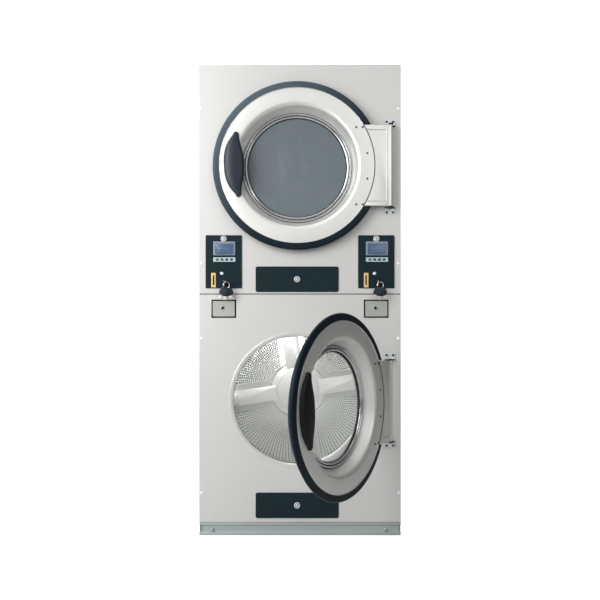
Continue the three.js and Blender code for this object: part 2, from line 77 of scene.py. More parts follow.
# ---------------------------------------------------------------- surfaces as arrays
# A part is (points, faces, corner uv); faces is a list of index lists.
def skin(points, wrap_rows=False, wrap_cols=False, size=(1.0, 1.0)):
    """Quads over a grid of points; uv is the share of the way along rows and columns times size."""
    rows, cols = points.shape[:2]
    steps = (rows if wrap_rows else rows - 1, cols if wrap_cols else cols - 1)
    i, j = np.meshgrid(np.arange(steps[0]), np.arange(steps[1]), indexing="ij")
    ci = np.stack([i, i, i + 1, i + 1], -1)
    cj = np.stack([j, j + 1, j + 1, j], -1)
    quads = (ci % rows) * cols + cj % cols
    uv = np.stack([ci / steps[0] * size[0], cj / steps[1] * size[1]], -1)
    return points.reshape(-1, 3), quads.reshape(-1, 4).tolist(), uv.reshape(-1, 2)


def joined(parts):
    """Several parts as one, with each part's indices moved past the points before it."""
    points, faces, uvs, start = [], [], [], 0
    for p, f, uv in parts:
        points.append(p)
        faces += [[start + i for i in face] for face in f]
        uvs.append(uv)
        start += len(p)
    return np.concatenate(points), faces, np.concatenate(uvs)


def moved(part, offset=(0, 0, 0), turn=None):
    """The part turned by a 3x3 array and then shifted."""
    points = part[0] if turn is None else part[0] @ np.asarray(turn).T
    return points + np.asarray(offset, float), part[1], part[2]


def about(axis, degrees):
    """The 3x3 array that turns a part about an axis."""
    return np.array(Matrix.Rotation(math.radians(degrees), 3, axis))


def fillet(corners, radii, steps=5, closed=True):
    """A polyline whose corners are arcs: each corner gives tangent points r / tan(half angle) away and an arc
    of radius r between them."""
    corners = np.asarray(corners, float)
    count = len(corners)
    radii = np.broadcast_to(radii, (count,))
    out = []
    for k in range(count):
        here, r = corners[k], radii[k]
        if r <= 0 or (not closed and k in (0, count - 1)):
            out.append(here[None])
            continue
        a = corners[k - 1] - here
        b = corners[(k + 1) % count] - here
        a, b = a / np.linalg.norm(a), b / np.linalg.norm(b)
        half = math.acos(np.clip(a @ b, -1, 1)) / 2
        centre = here + (a + b) / np.linalg.norm(a + b) * r / math.sin(half)
        start = here + a * r / math.tan(half) - centre
        end = here + b * r / math.tan(half) - centre
        swing = math.atan2(start[0] * end[1] - start[1] * end[0], start @ end)
        t = np.linspace(0, swing, steps + 1)
        turn = np.stack([np.cos(t), -np.sin(t), np.sin(t), np.cos(t)], -1).reshape(-1, 2, 2)
        out.append(centre + turn @ start)
    return np.concatenate(out)


def lathe(profile, sides=128, closed=True, cut=0.0):
    """A profile of (radius, y) turned about the Y axis: x = r cos a, z = r sin a. With a cut, the turn stops
    on the +X side at the heights z = +cut and z = -cut, and its two ends are closed."""
    profile = np.asarray(profile, float)
    r, y = profile[:, :1], profile[:, 1:]
    run = np.linalg.norm(np.diff(profile, axis=0), axis=1).sum()
    around = 2 * math.pi * profile[:, 0].max()
    if not cut:
        a = np.linspace(0, 2 * math.pi, sides, endpoint=False)
        return skin(np.stack([r * np.cos(a), y + 0 * a, r * np.sin(a)], -1), closed, True, (run, around))
    start = np.arcsin(cut / r)
    a = start + (2 * math.pi - 2 * start) * np.linspace(0, 1, sides + 1)
    grid = np.stack([r * np.cos(a), y + 0 * a, r * np.sin(a)], -1)
    points, faces, uv = skin(grid, closed, False, (run, around))
    rows = np.arange(len(profile)) * (sides + 1)
    ends = [rows.tolist(), (rows + sides).tolist()]
    return points, faces + ends, np.concatenate([uv, np.tile(profile, (2, 1))])


def outward(outline):
    """Unit normals of a closed outline: each point's neighbours' chord turned by a right angle."""
    chord = np.roll(outline, -1, 0) - np.roll(outline, 1, 0)
    normal = np.stack([chord[:, 1], -chord[:, 0]], -1)
    area = np.sum(outline[:, 0] * np.roll(outline[:, 1], -1) - np.roll(outline[:, 0], -1) * outline[:, 1])
    return normal / np.linalg.norm(normal, axis=1, keepdims=True) * np.sign(area)


def moulding(outline, profile, closed=True):
    """A profile of (offset outwards, y) carried round a closed outline in X and Z."""
    outline = np.asarray(outline, float)
    profile = np.asarray(profile, float)
    at = outline[None] + outward(outline)[None] * profile[:, :1, None]
    y = np.broadcast_to(profile[:, 1:], at.shape[:2])
    grid = np.stack([at[..., 0], y, at[..., 1]], -1)
    run = np.linalg.norm(np.roll(outline, -1, 0) - outline, axis=1).sum()
    depth = np.linalg.norm(np.diff(profile, axis=0), axis=1).sum()
    return skin(grid, closed, True, (depth, run))


def plate(outline, front, back, bevel=0.8, steps=3):
    """A flat plate between two y planes: its edge profile is two quarter arcs of the bevel's radius, and its
    faces are the outline drawn in by that radius."""
    t = np.linspace(0, math.pi / 2, steps + 1)
    near = np.stack([-bevel * (1 - np.sin(t)), front + bevel * (1 - np.cos(t))], -1)
    far = np.stack([near[::-1, 0], back - bevel * (1 - np.cos(t[::-1]))], -1)
    points, faces, uv = moulding(outline, np.concatenate([near, far]), closed=False)
    count, last = len(outline), len(points) - len(outline)
    caps = [list(range(count))[::-1], list(range(last, last + count))]
    return points, faces + caps, np.concatenate([uv] + [points[c][:, [0, 2]] for c in caps])


def rectangle(width, height, radius, x=0.0, z=0.0, steps=5):
    """An outline about a centre, its corners rounded to a radius."""
    w, h = width / 2, height / 2
    return fillet([(x + w, z + h), (x - w, z + h), (x - w, z - h), (x + w, z - h)], radius, steps)


def box_part(x, y, z, bevel=0.5):
    """A block between two x, two y and two z planes, with small round edges."""
    outline = rectangle(x[1] - x[0], z[1] - z[0], min(0.6, bevel), (x[0] + x[1]) / 2, (z[0] + z[1]) / 2, 2)
    return plate(outline, *y, bevel, 2)


def lattice(xs, zs, front, back, missing):
    """A flat plate on a grid of x and z lines with some of its cells left out: every cell has a front and a
    back quad, and a wall wherever it has no neighbour."""
    cols = len(xs)
    grid = np.array([(x, y, z) for y in (front, back) for z in zs for x in xs])
    layer = cols * len(zs)
    gone = set(missing)
    faces = []
    for k in range(len(zs) - 1):
        for i in range(cols - 1):
            if (i, k) in gone:
                continue
            a, b = k * cols + i, k * cols + i + 1
            c, d = b + cols, a + cols
            faces += [[a, b, c, d], [layer + d, layer + c, layer + b, layer + a]]
            sides = [((i, k - 1), a, b), ((i + 1, k), b, c), ((i, k + 1), c, d), ((i - 1, k), d, a)]
            for (ni, nk), p, q in sides:
                if (ni, nk) in gone or not (0 <= ni < cols - 1 and 0 <= nk < len(zs) - 1):
                    faces.append([p, layer + p, layer + q, q])
    uv = np.array([grid[i][[0, 2]] for face in faces for i in face])
    return grid, faces, uv


def perforated(place, rows, cols, tall, wide, share):
    """A sheet of square cells with a round hole in each: eight quads join the cell's edge to a ring whose
    radius is a share of half the cell's shorter side. place(u, v) is the point at u rows and v columns."""
    i, j = np.meshgrid(np.arange(rows), np.arange(cols), indexing="ij")
    i, j = i.ravel()[:, None], j.ravel()[:, None]
    a = np.arange(8) * math.pi / 4
    edge = np.clip(np.array([np.cos(a), np.sin(a)]) * math.sqrt(2), -1, 1) / 2
    tall, wide = np.broadcast_to(tall, rows)[i], np.broadcast_to(wide, rows)[i]
    hole = share * np.minimum(tall, wide) / 2
    u = np.stack([i + 0.5 + edge[0], i + 0.5 + np.cos(a) * hole / tall], 1)
    v = np.stack([j + 0.5 + edge[1], j + 0.5 + np.sin(a) * hole / wide], 1)
    points = place(u, v).reshape(-1, 3)
    cell = np.arange(rows * cols)[:, None, None] * 16
    k = np.arange(8)
    ring = np.stack([k, (k + 1) % 8, 8 + (k + 1) % 8, 8 + k], -1)
    quads = (cell + ring).reshape(-1, 4)
    uv = np.stack([(u * tall[:, None]).ravel(), (v * wide[:, None]).ravel()], -1)
    return points, quads.tolist(), uv[quads.ravel()]


def tube(path, radius, sides=10, closed=False):
    """A round section carried along a path: centre + r (n cos a + b sin a), n and b square to the path."""
    path = np.asarray(path, float)
    ahead = np.roll(path, -1, 0) - np.roll(path, 1, 0) if closed else np.gradient(path, axis=0)
    ahead /= np.linalg.norm(ahead, axis=1, keepdims=True)
    side = np.cross(ahead, [0.05, 0.9, 0.1])
    side /= np.linalg.norm(side, axis=1, keepdims=True)
    up = np.cross(ahead, side)
    a = np.linspace(0, 2 * math.pi, sides, endpoint=False)[None, :, None]
    grid = path[:, None] + radius * (side[:, None] * np.cos(a) + up[:, None] * np.sin(a))
    points, faces, uv = skin(grid, closed, True)
    if closed:
        return points, faces, uv
    ends = [list(range(sides)), list(range(len(points) - sides, len(points)))]
    return points, faces + ends, np.concatenate([uv, np.zeros((2 * sides, 2))])


# ---------------------------------------------------------------- pieces
WELD, CAD_WELD = 2e-6, 2e-5
SHARP, FLAT, ROUNDED = (math.radians(angle) for angle in (38, 0.5, 40))


def piece(name, parts, material, body, stands_for=(), solidify=0.0):
    """One mesh object of the parts: doubles welded, faces turned outwards, and riding on its body."""
    points, faces, uv = joined(parts if isinstance(parts, list) else [parts])
    mesh = bpy.data.meshes.new(name)
    mesh.from_pydata((points / M).tolist(), [], faces)
    layer = mesh.uv_layers.new(name="surface")
    layer.data.foreach_set("uv", (uv / M).astype(np.float32).ravel())
    work = bmesh.new()
    work.from_mesh(mesh)
    bmesh.ops.remove_doubles(work, verts=work.verts, dist=WELD)
    bmesh.ops.dissolve_degenerate(work, edges=work.edges, dist=WELD / 2)
    bmesh.ops.recalc_face_normals(work, faces=work.faces)
    work.to_mesh(mesh)
    work.free()
    return finished(name, mesh, [material], body, stands_for, solidify)


def finished(name, mesh, materials, body, stands_for, solidify=0.0, bevel=0.0):
    """The mesh as an object with its walls and edges, riding on its body in the place of its CAD nodes."""
    mesh.shade_smooth()
    mesh.set_sharp_from_angle(angle=SHARP)
    for material in materials:
        mesh.materials.append(material)
    obj = bpy.data.objects.new(name, mesh)
    bpy.context.scene.collection.objects.link(obj)
    if solidify:
        wall = obj.modifiers.new("wall", "SOLIDIFY")
        wall.thickness = solidify / M
        wall.offset = 0
    if bevel:
        edge = obj.modifiers.new("edge", "BEVEL")
        edge.width = bevel / M
        edge.segments = 2
        edge.limit_method = "ANGLE"
        edge.angle_limit = ROUNDED
        edge.harden_normals = True
    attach(obj, body)
    if stands_for:
        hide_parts(*stands_for)
    return obj


def refined(name, material, bevel, second=None, behind=None):
    """A CAD node's own shape with its doubles merged, flat faces joined and edges softened. Faces whose
    middle lies behind a y plane take the second material."""
    mesh = frame["nodes"][name].data.copy()
    mesh.materials.clear()
    work = bmesh.new()
    work.from_mesh(mesh)
    bmesh.ops.remove_doubles(work, verts=work.verts, dist=CAD_WELD)
    bmesh.ops.dissolve_limit(work, angle_limit=FLAT, verts=work.verts, edges=work.edges)
    if second:
        for face in work.faces:
            face.material_index = int(face.calc_center_median().y * M > behind)
    work.to_mesh(mesh)
    work.free()
    paints = [material, second] if second else [material]
    return finished(f"{name}_finished", mesh, paints, BODY_OF[name], [name], 0.0, bevel)


def screw(radius, height, socket=0.5):
    """A screw head facing -Y at the origin: a low dome, whose profile is an arc, with a sunk socket."""
    t = np.linspace(0, math.pi / 2, 5)
    arc = np.stack([radius * (1 - 0.25 * (1 - np.cos(t))), -height * np.sin(t)], -1)
    hole = radius * socket
    rest = [(hole, -height * 1.02), (hole * 0.92, -height * 0.25), (0.0, -height * 0.2)]
    return lathe(np.concatenate([[(0.0, 0.0)], arc, rest]), 14, closed=False)


def dome(radius, height, steps=6):
    """A round cap facing -Y at the origin: r cos t and height sin t over a quarter turn, closed behind."""
    t = np.linspace(0, math.pi / 2, steps + 1)
    arc = np.stack([radius * np.cos(t), -height * np.sin(t)], -1)
    return lathe(np.concatenate([[(0.0, 0.0)], arc]), 24, closed=False)


def screws(name, places, radius, height, material, turn=None):
    """Screw heads on the cabinet, one at each place, turned from facing -Y."""
    head = moved(screw(radius, height), turn=turn)
    return piece(name, [moved(head, place) for place in places], material, "cabinet")


# ---------------------------------------------------------------- materials
def feed(made, links):
    """Each (input, source) pair set on a node: a socket is linked in, and anything else is a plain value."""
    for key, source in links:
        if isinstance(source, bpy.types.NodeSocket):
            made.id_data.links.new(source, made.inputs[key])
        else:
            made.inputs[key].default_value = source
    return made


def node(tree, kind, links=(), **values):
    """A shader node with its settings and its inputs."""
    made = tree.nodes.new("ShaderNode" + kind)
    for key, value in values.items():
        setattr(made, key, value)
    return feed(made, links)


def coordinates(tree, kind):
    """The object's own place, or its uv, or a direction in the world."""
    return node(tree, "TexCoord").outputs[kind]


def times(a, b, operation="MULTIPLY", **values):
    """The product of two values, or what another operation gives."""
    return node(a.id_data, "Math", [(0, a), (1, b)], operation=operation, **values).outputs[0]


def ramp(value, start=0.0, end=1.0, low=0.0, high=1.0):
    """A value's run from start to end carried over to low to high, and held beyond them."""
    ends = [("From Min", start), ("From Max", end), ("To Min", low), ("To Max", high)]
    return node(value.id_data, "MapRange", [("Value", value), *ends]).outputs[0]


def noise(place, scale, detail=2.0, twist=0.0):
    """Smooth noise at a scale, with finer steps laid over it, and pulled about by twist."""
    links = [("Vector", place), ("Scale", scale), ("Detail", detail), ("Distortion", twist)]
    return node(place.id_data, "TexNoise", links).outputs["Fac"]


def blend(mask, a, b):
    """Colour a where the mask is 0, and colour b where it is 1."""
    return node(mask.id_data, "Mix", [(0, mask), (6, a), (7, b)], data_type="RGBA").outputs[2]


def shade(colour, share=1.0):
    """A colour made darker or lighter, with full alpha."""
    return tuple(min(1.0, c * share) for c in colour) + (1.0,)


def new_group(name, inputs, outputs):
    """An empty node group, its inputs' sockets and its output node. A tuple makes a vector socket."""
    group = bpy.data.node_groups.new(name, "ShaderNodeTree")
    for way, sockets in (("INPUT", inputs), ("OUTPUT", outputs)):
        for label, value in sockets.items():
            kind = "NodeSocketVector" if isinstance(value, tuple) else "NodeSocketFloat"
            group.interface.new_socket(name=label, in_out=way, socket_type=kind).default_value = value
    return group, group.nodes.new("NodeGroupInput").outputs, group.nodes.new("NodeGroupOutput")


def grain_group():
    """Two scales of noise on the object's own coordinates: a broad value, a fine value and a fine bump."""
    group, start, end = new_group(
        "grain", {"Scale": 1.0, "Relief": 0.1, "Stretch": (1, 1, 1)},
        {"Broad": 0.0, "Fine": 0.0, "Normal": (0, 0, 0)},
    )
    place = coordinates(group, "Object")
    place = node(group, "VectorMath", [(0, place), (1, start["Stretch"])], operation="MULTIPLY").outputs[0]
    place = node(group, "VectorMath", [(0, place), ("Scale", start["Scale"])], operation="SCALE").outputs[0]
    broad, fine = noise(place, 3.0, 4.0), noise(place, 60.0, 5.0)
    bump = node(group, "Bump", [("Strength", start["Relief"]), ("Distance", 0.001), ("Height", fine)])
    feed(end, [("Broad", broad), ("Fine", fine), ("Normal", bump.outputs[0])])
    return group


def wear_group():
    """Masks for what touches and falls on a surface: rubbed convex edges, hand smears, and dust on what faces
    up."""
    group, start, end = new_group("wear", {"Amount": 0.5}, {"Edges": 0.0, "Smears": 0.0, "Dust": 0.0})
    shape = node(group, "NewGeometry").outputs
    place = coordinates(group, "Object")
    rough = noise(place, 45.0, 6.0)
    up = node(group, "SeparateXYZ", [(0, shape["Normal"])]).outputs["Z"]
    edges = times(ramp(shape["Pointiness"], 0.52, 0.6), rough)
    smears = ramp(noise(place, 7.0, 3.0, 1.5), 0.5, 0.75)
    dust = times(ramp(up, 0.75), rough)
    for label, mask in (("Edges", edges), ("Smears", smears), ("Dust", dust)):
        feed(end, [(label, times(mask, start["Amount"]))])
    return group


GRAIN, WEAR = grain_group(), wear_group()
DUST, SMEAR = (0.62, 0.6, 0.57), 0.12


def plain(name):
    """A new material, its tree and its shader."""
    made = bpy.data.materials.new(name)
    made.use_nodes = True
    return made, made.node_tree, made.node_tree.nodes["Principled BSDF"]


def finish_of(
    name, colour, rough=0.4, metal=0.0, tint=0.04, scale=1.0, relief=0.08, stretch=(1, 1, 1),
    worn=(0.6, 0.6, 0.6), wear=0.4, coat=0.0, spangle=0.0, gloss=0.5,
):
    """A finish: the colour varies with the broad noise, edges wear to another colour, dust lightens what
    faces up, and smears and the fine noise change the roughness. Spangle is how much flakes of zinc show."""
    made, tree, shader = plain(name)
    grain = node(tree, "Group", [("Scale", scale), ("Relief", relief), ("Stretch", stretch)], node_tree=GRAIN)
    broad, fine, normal = (grain.outputs[label] for label in ("Broad", "Fine", "Normal"))
    use = node(tree, "Group", [("Amount", wear)], node_tree=WEAR).outputs
    surface = blend(broad, shade(colour, 1 - tint), shade(colour, 1 + tint))
    if spangle:
        cells = node(tree, "TexVoronoi", [("Vector", coordinates(tree, "Object")), ("Scale", 90.0)])
        grey = node(tree, "SeparateColor", [("Color", cells.outputs["Color"])]).outputs["Red"]
        surface = blend(times(grey, spangle), surface, shade(colour, 1.35))
    surface = blend(use["Edges"], surface, shade(worn))
    surface = blend(use["Dust"], surface, shade(DUST))
    swing = ramp(fine, low=rough * 0.88, high=min(1.0, rough * 1.12))
    dull = times(swing, times(use["Smears"], SMEAR), "ADD", use_clamp=True)
    feed(shader, [
        ("Metallic", metal), ("Coat Weight", coat), ("Coat Roughness", 0.12), ("Specular IOR Level", gloss),
        ("Base Color", surface), ("Roughness", dull), ("Normal", normal),
    ])
    return made


def painted_sheen(base, name, colour, radius):
    """A copy of a finish with a painted sheen: a lighter colour on the upper left of a ring, where light falls.
    The angle is the length of the ring's uv over its radius, and the mask is the sine of that angle, turned by 32
    degrees."""
    made = base.copy()
    made.name = name
    tree = made.node_tree
    shader = tree.nodes["Principled BSDF"]
    along = node(tree, "SeparateXYZ", [(0, coordinates(tree, "UV"))]).outputs["Y"]
    angle = times(times(along, 1 / radius), math.radians(-32), "ADD")
    wave = node(tree, "Math", [(0, angle)], operation="SINE").outputs[0]
    own_colour = shader.inputs["Base Color"].links[0].from_socket
    feed(shader, [("Base Color", blend(ramp(wave, -0.6), own_colour, shade(colour)))])
    return made


def glass_of(name, colour, veil, gloss):
    """A pane that is all gloss and a thin veil of colour, so that light and shadow pass it."""
    made, tree, shader = plain(name)
    haze = node(tree, "Group", [("Scale", 0.6), ("Relief", 0.0)], node_tree=GRAIN).outputs["Broad"]
    feed(shader, [
        ("Base Color", shade(colour)), ("Roughness", 0.02), ("Specular IOR Level", gloss), ("IOR", 1.5),
        ("Alpha", ramp(haze, low=veil, high=veil + 0.05)),
    ])
    return made


def screen_of(name, colour, glow):
    """A lit display: soft patches of light on a dark ground."""
    made = finish_of(name, colour, rough=0.25, relief=0.0, wear=0.1, coat=0.5)
    shader = made.node_tree.nodes["Principled BSDF"]
    light = noise(coordinates(made.node_tree, "UV"), 14.0)
    strength = ramp(light, low=glow * 0.7, high=glow * 1.3)
    feed(shader, [("Emission Color", shade(colour)), ("Emission Strength", strength)])
    return made


paint = finish_of("cabinet_paint", (0.645, 0.64, 0.625), rough=0.42, metal=0.2, tint=0.015, relief=0.05,
                  wear=0.3)
plinth = finish_of("plinth_steel", (0.40, 0.455, 0.45), rough=0.5, metal=0.3, tint=0.06, relief=0.1)
zinc = finish_of("galvanized_steel", (0.45, 0.47, 0.48), rough=0.45, metal=0.9, tint=0.05, spangle=0.5)
steel = finish_of("stainless_steel", (0.81, 0.81, 0.78), rough=0.42, metal=0.75, tint=0.02, relief=0.05,
                  worn=(0.9, 0.9, 0.88))
drum_steel = finish_of("drum_steel", (0.80, 0.81, 0.79), rough=0.3, metal=0.7, tint=0.02, relief=0.05,
                       wear=0.2)
# A lighter copy of the drum steel for the hub and bands: painted light, so that they look more brightly lit.
drum_lit_steel = finish_of("drum_plain_steel", (0.96, 0.96, 0.94), rough=0.34, metal=0.4, tint=0.02, relief=0.05,
                       wear=0.2)
machined = finish_of("machined_steel", (0.6, 0.61, 0.62), rough=0.25, metal=1.0, stretch=(1, 12, 1),
                     relief=0.1)
iron = finish_of("cast_iron", (0.07, 0.073, 0.076), rough=0.65, metal=0.5, scale=3.0, relief=0.5,
                 worn=(0.3, 0.3, 0.3))
rim_plastic = finish_of("rim_plastic", (0.004, 0.011, 0.018), rough=0.42, tint=0.1, relief=0.04,
                        worn=(0.03, 0.04, 0.05), wear=0.2, gloss=0.18)
# The upper rim's copy carries a painted sheen, lighter on its upper left.
rim_painted_sheen = painted_sheen(rim_plastic, "rim_plastic_faded", (0.08, 0.108, 0.13), 0.365)
handle_plastic = finish_of("handle_plastic", (0.012, 0.019, 0.030), rough=0.38, tint=0.08, relief=0.1,
                           scale=2.0, worn=(0.04, 0.05, 0.07), gloss=0.4)
black = finish_of("black_plastic", (0.005, 0.006, 0.007), rough=0.45, tint=0.1, relief=0.05,
                  worn=(0.03, 0.03, 0.03), gloss=0.25)
rubber = finish_of("belt_rubber", (0.012, 0.012, 0.012), rough=0.85, tint=0.15, relief=0.3,
                   worn=(0.03, 0.03, 0.03), wear=0.6)
motor_paint = finish_of("motor_paint", (0.05, 0.07, 0.095), rough=0.45, metal=0.2, relief=0.15,
                        worn=(0.35, 0.35, 0.35))
dark_panel = finish_of("dark_panel_paint", (0.008, 0.021, 0.027), rough=0.55, tint=0.06, relief=0.06,
                       worn=(0.05, 0.07, 0.08), wear=0.3, gloss=0.1)
flange_paint = finish_of("flange_paint", (0.66, 0.70, 0.74), rough=0.35, metal=0.3, tint=0.02, relief=0.04)
lock_metal = finish_of("lock_metal", (0.86, 0.86, 0.84), rough=0.3, metal=0.25, tint=0.02, relief=0.03,
                       wear=0.2)
key_brass = finish_of("key_brass", (0.76, 0.66, 0.52), rough=0.3, metal=0.7, tint=0.05, relief=0.05, wear=0.5)
chrome = finish_of("chrome", (0.72, 0.73, 0.74), rough=0.12, metal=1.0, tint=0.01, relief=0.01,
                   worn=(0.9, 0.9, 0.9), wear=0.2)
white_plastic = finish_of("white_plastic", (0.88, 0.89, 0.89), rough=0.35, tint=0.01, relief=0.02, wear=0.15)
bezel_plastic = finish_of("bezel_plastic", (0.20, 0.25, 0.34), rough=0.4, tint=0.03, relief=0.05)
strip_plastic = finish_of("strip_plastic", (0.42, 0.58, 0.62), rough=0.4, tint=0.03, relief=0.03)
button_plastic = finish_of("button_plastic", (0.03, 0.045, 0.065), rough=0.45, relief=0.03)
button_green = finish_of("button_green", (0.03, 0.16, 0.10), rough=0.45, relief=0.03)
brass = finish_of("brass", (0.84, 0.60, 0.24), rough=0.35, metal=0.35, tint=0.05, relief=0.05,
                  worn=(0.9, 0.7, 0.35))
vault_paint = finish_of("vault_paint", (0.42, 0.44, 0.40), rough=0.4, metal=0.35, tint=0.03, relief=0.05)
# A darkened copy of the galvanized steel: painted shade for the bulkheads seen through the drums' holes.
zinc_painted_shade = finish_of("galvanized_dark", (0.06, 0.062, 0.065), rough=0.6, metal=0.6, tint=0.05, spangle=0.3)
# Near black used as painted shade in gaps, seams, slots, keyways and hollows where no light reaches.
shade_black = finish_of("inner_dark", (0.003, 0.0035, 0.004), rough=0.85, relief=0.05, wear=0.1, gloss=0.1)
glass_clear = glass_of("glass_clear", (0.72, 0.78, 0.76), 0.02, 0.35)
# The upper pane's grey veil is painted shade: the dim drum behind the glass.
glass_painted_shade = glass_of("glass_smoked", (0.20, 0.24, 0.26), 0.58, 0.5)
screen = screen_of("screen", (0.052, 0.098, 0.185), 0.14)
screen_ink = screen_of("screen_ink", (0.075, 0.13, 0.235), 0.2)

SLOT_FINISH = {
    "plinth_steel": plinth, "cabinet_paint": paint, "galvanized_steel": zinc, "stainless_steel": steel,
    "machined_steel": machined, "cast_iron": iron, "rim_plastic": rim_plastic, "belt_rubber": rubber,
    "handle_plastic": handle_plastic, "door_glass": glass_clear, "motor_paint": motor_paint,
    "dark_panel_paint": dark_panel, "chrome": chrome, "button_plastic": button_plastic,
}
SLOT_OF = {part["node"]: part["material_slot"] for part in frame["record"]["subparts"]}
for name, cad in frame["nodes"].items():
    cad.data.materials.clear()
    cad.data.materials.append(SLOT_FINISH[SLOT_OF[name]])
# The bulkheads take the darkened zinc, painted shade behind the drums' holes.
for pocket in POCKETS:
    frame["nodes"][f"{pocket}_bulkhead"].data.materials[0] = zinc_painted_shade


# ---------------------------------------------------------------- doors
RIM_OUT, RIM_BACK, RIM_IN, FACE_R, CONE_R = 365.0, 342.0, 335.5, 335.0, 265.0
SEAT_OUT, SEAT_IN, GLASS_R = 242.0, 217.0, 229.0
FACE_Y, SEAT_Y, REAR_Y, SHEET = -2.0, 50.0, 30.0, 1.5
REACH = 404.6
PLATE_HALF = 175.0
RIM_CUT, SKIRT_CUT = PLATE_HALF + 2, PLATE_HALF + 1
LEAF_R, EMBOSS_R, GAP_R, TONGUE_R = 336.6, 338.5, 335.8, 296.0
HANDLE_TILT, HANDLE_RISE, HANDLE_SWELL, HANDLE_FOOT = 2.5, 14.0, 20.0, 1.2
ROUND, HALF_ROUND = 160, 128


def crescent():
    """The pull's outer and inner edge against height: a quadratic curve outside, a cubic inside, and round
    tips."""
    tip_z, tip_r, tip_x, outer, inner = 128.0, 13.0, -258.0, -316.0, -228.0
    end = tip_z + tip_r
    z = end * np.sin(np.linspace(-math.pi / 2, math.pi / 2, 73))
    t = np.linspace(0, 1, 200)
    left_z = tip_z * (1 - t) ** 2 + 2 * 0.62 * tip_z * t * (1 - t)
    left_x = (tip_x - tip_r) * (1 - t) ** 2 + 2 * (outer - 4) * t * (1 - t) + outer * t**2
    right_z = tip_z * (1 - t) ** 3 + 3 * 0.6 * tip_z * (t * (1 - t) ** 2 + t**2 * (1 - t))
    right_x = (tip_x + tip_r) * ((1 - t) ** 3 + 3 * t * (1 - t) ** 2) + inner * (3 * t**2 * (1 - t) + t**3)
    tall = np.abs(z)
    left = np.interp(tall, left_z[::-1], left_x[::-1])
    right = np.interp(tall, right_z[::-1], right_x[::-1])
    cap = np.sqrt(np.clip(tip_r**2 - np.clip(tall - tip_z, 0, None) ** 2, 0, None))
    beyond = tall > tip_z
    return z, np.where(beyond, tip_x - cap, left), np.where(beyond, tip_x + cap, right)


def handle_part():
    """The pull's sections: half a superellipse in front of a flat back, thinner towards the tips."""
    z, left, right = crescent()
    a = np.linspace(0, 2 * math.pi, 40, endpoint=False)
    across = np.sign(np.cos(a)) * np.abs(np.cos(a)) ** 0.8
    lift = np.where(np.sin(a) > 0, np.abs(np.sin(a)) ** 0.75, 0.0)
    under = np.where(np.sin(a) < 0, np.abs(np.sin(a)) ** 0.3, 0.0)
    half = (right - left) / 2
    slim = 1 - 0.45 * (np.abs(z) / np.abs(z).max()) ** 2.5
    swell = HANDLE_SWELL * slim * np.minimum(1.0, half / 13.0) ** 0.5
    x = (left + right)[:, None] / 2 + half[:, None] * across
    y = FACE_Y - 0.3 - HANDLE_FOOT - (swell[:, None] - HANDLE_FOOT) * lift + HANDLE_FOOT * under
    points = np.stack([x, y, np.broadcast_to(z[:, None], x.shape)], -1)
    part = skin(points, False, True, (280, 120))
    return moved(moved(part, turn=about("Y", -HANDLE_TILT)), (0, 0, HANDLE_RISE))


def arc_plate(radius, right, half, front, back, bevel):
    """A plate between an arc about the door's centre and a straight edge at its right."""
    end = math.asin(half / radius)
    a = np.linspace(-end, end, 40)
    edge = np.stack([radius * np.cos(a), radius * np.sin(a)], -1)
    return plate(np.concatenate([edge, [(right, half), (right, -half)]]), front, back, bevel)


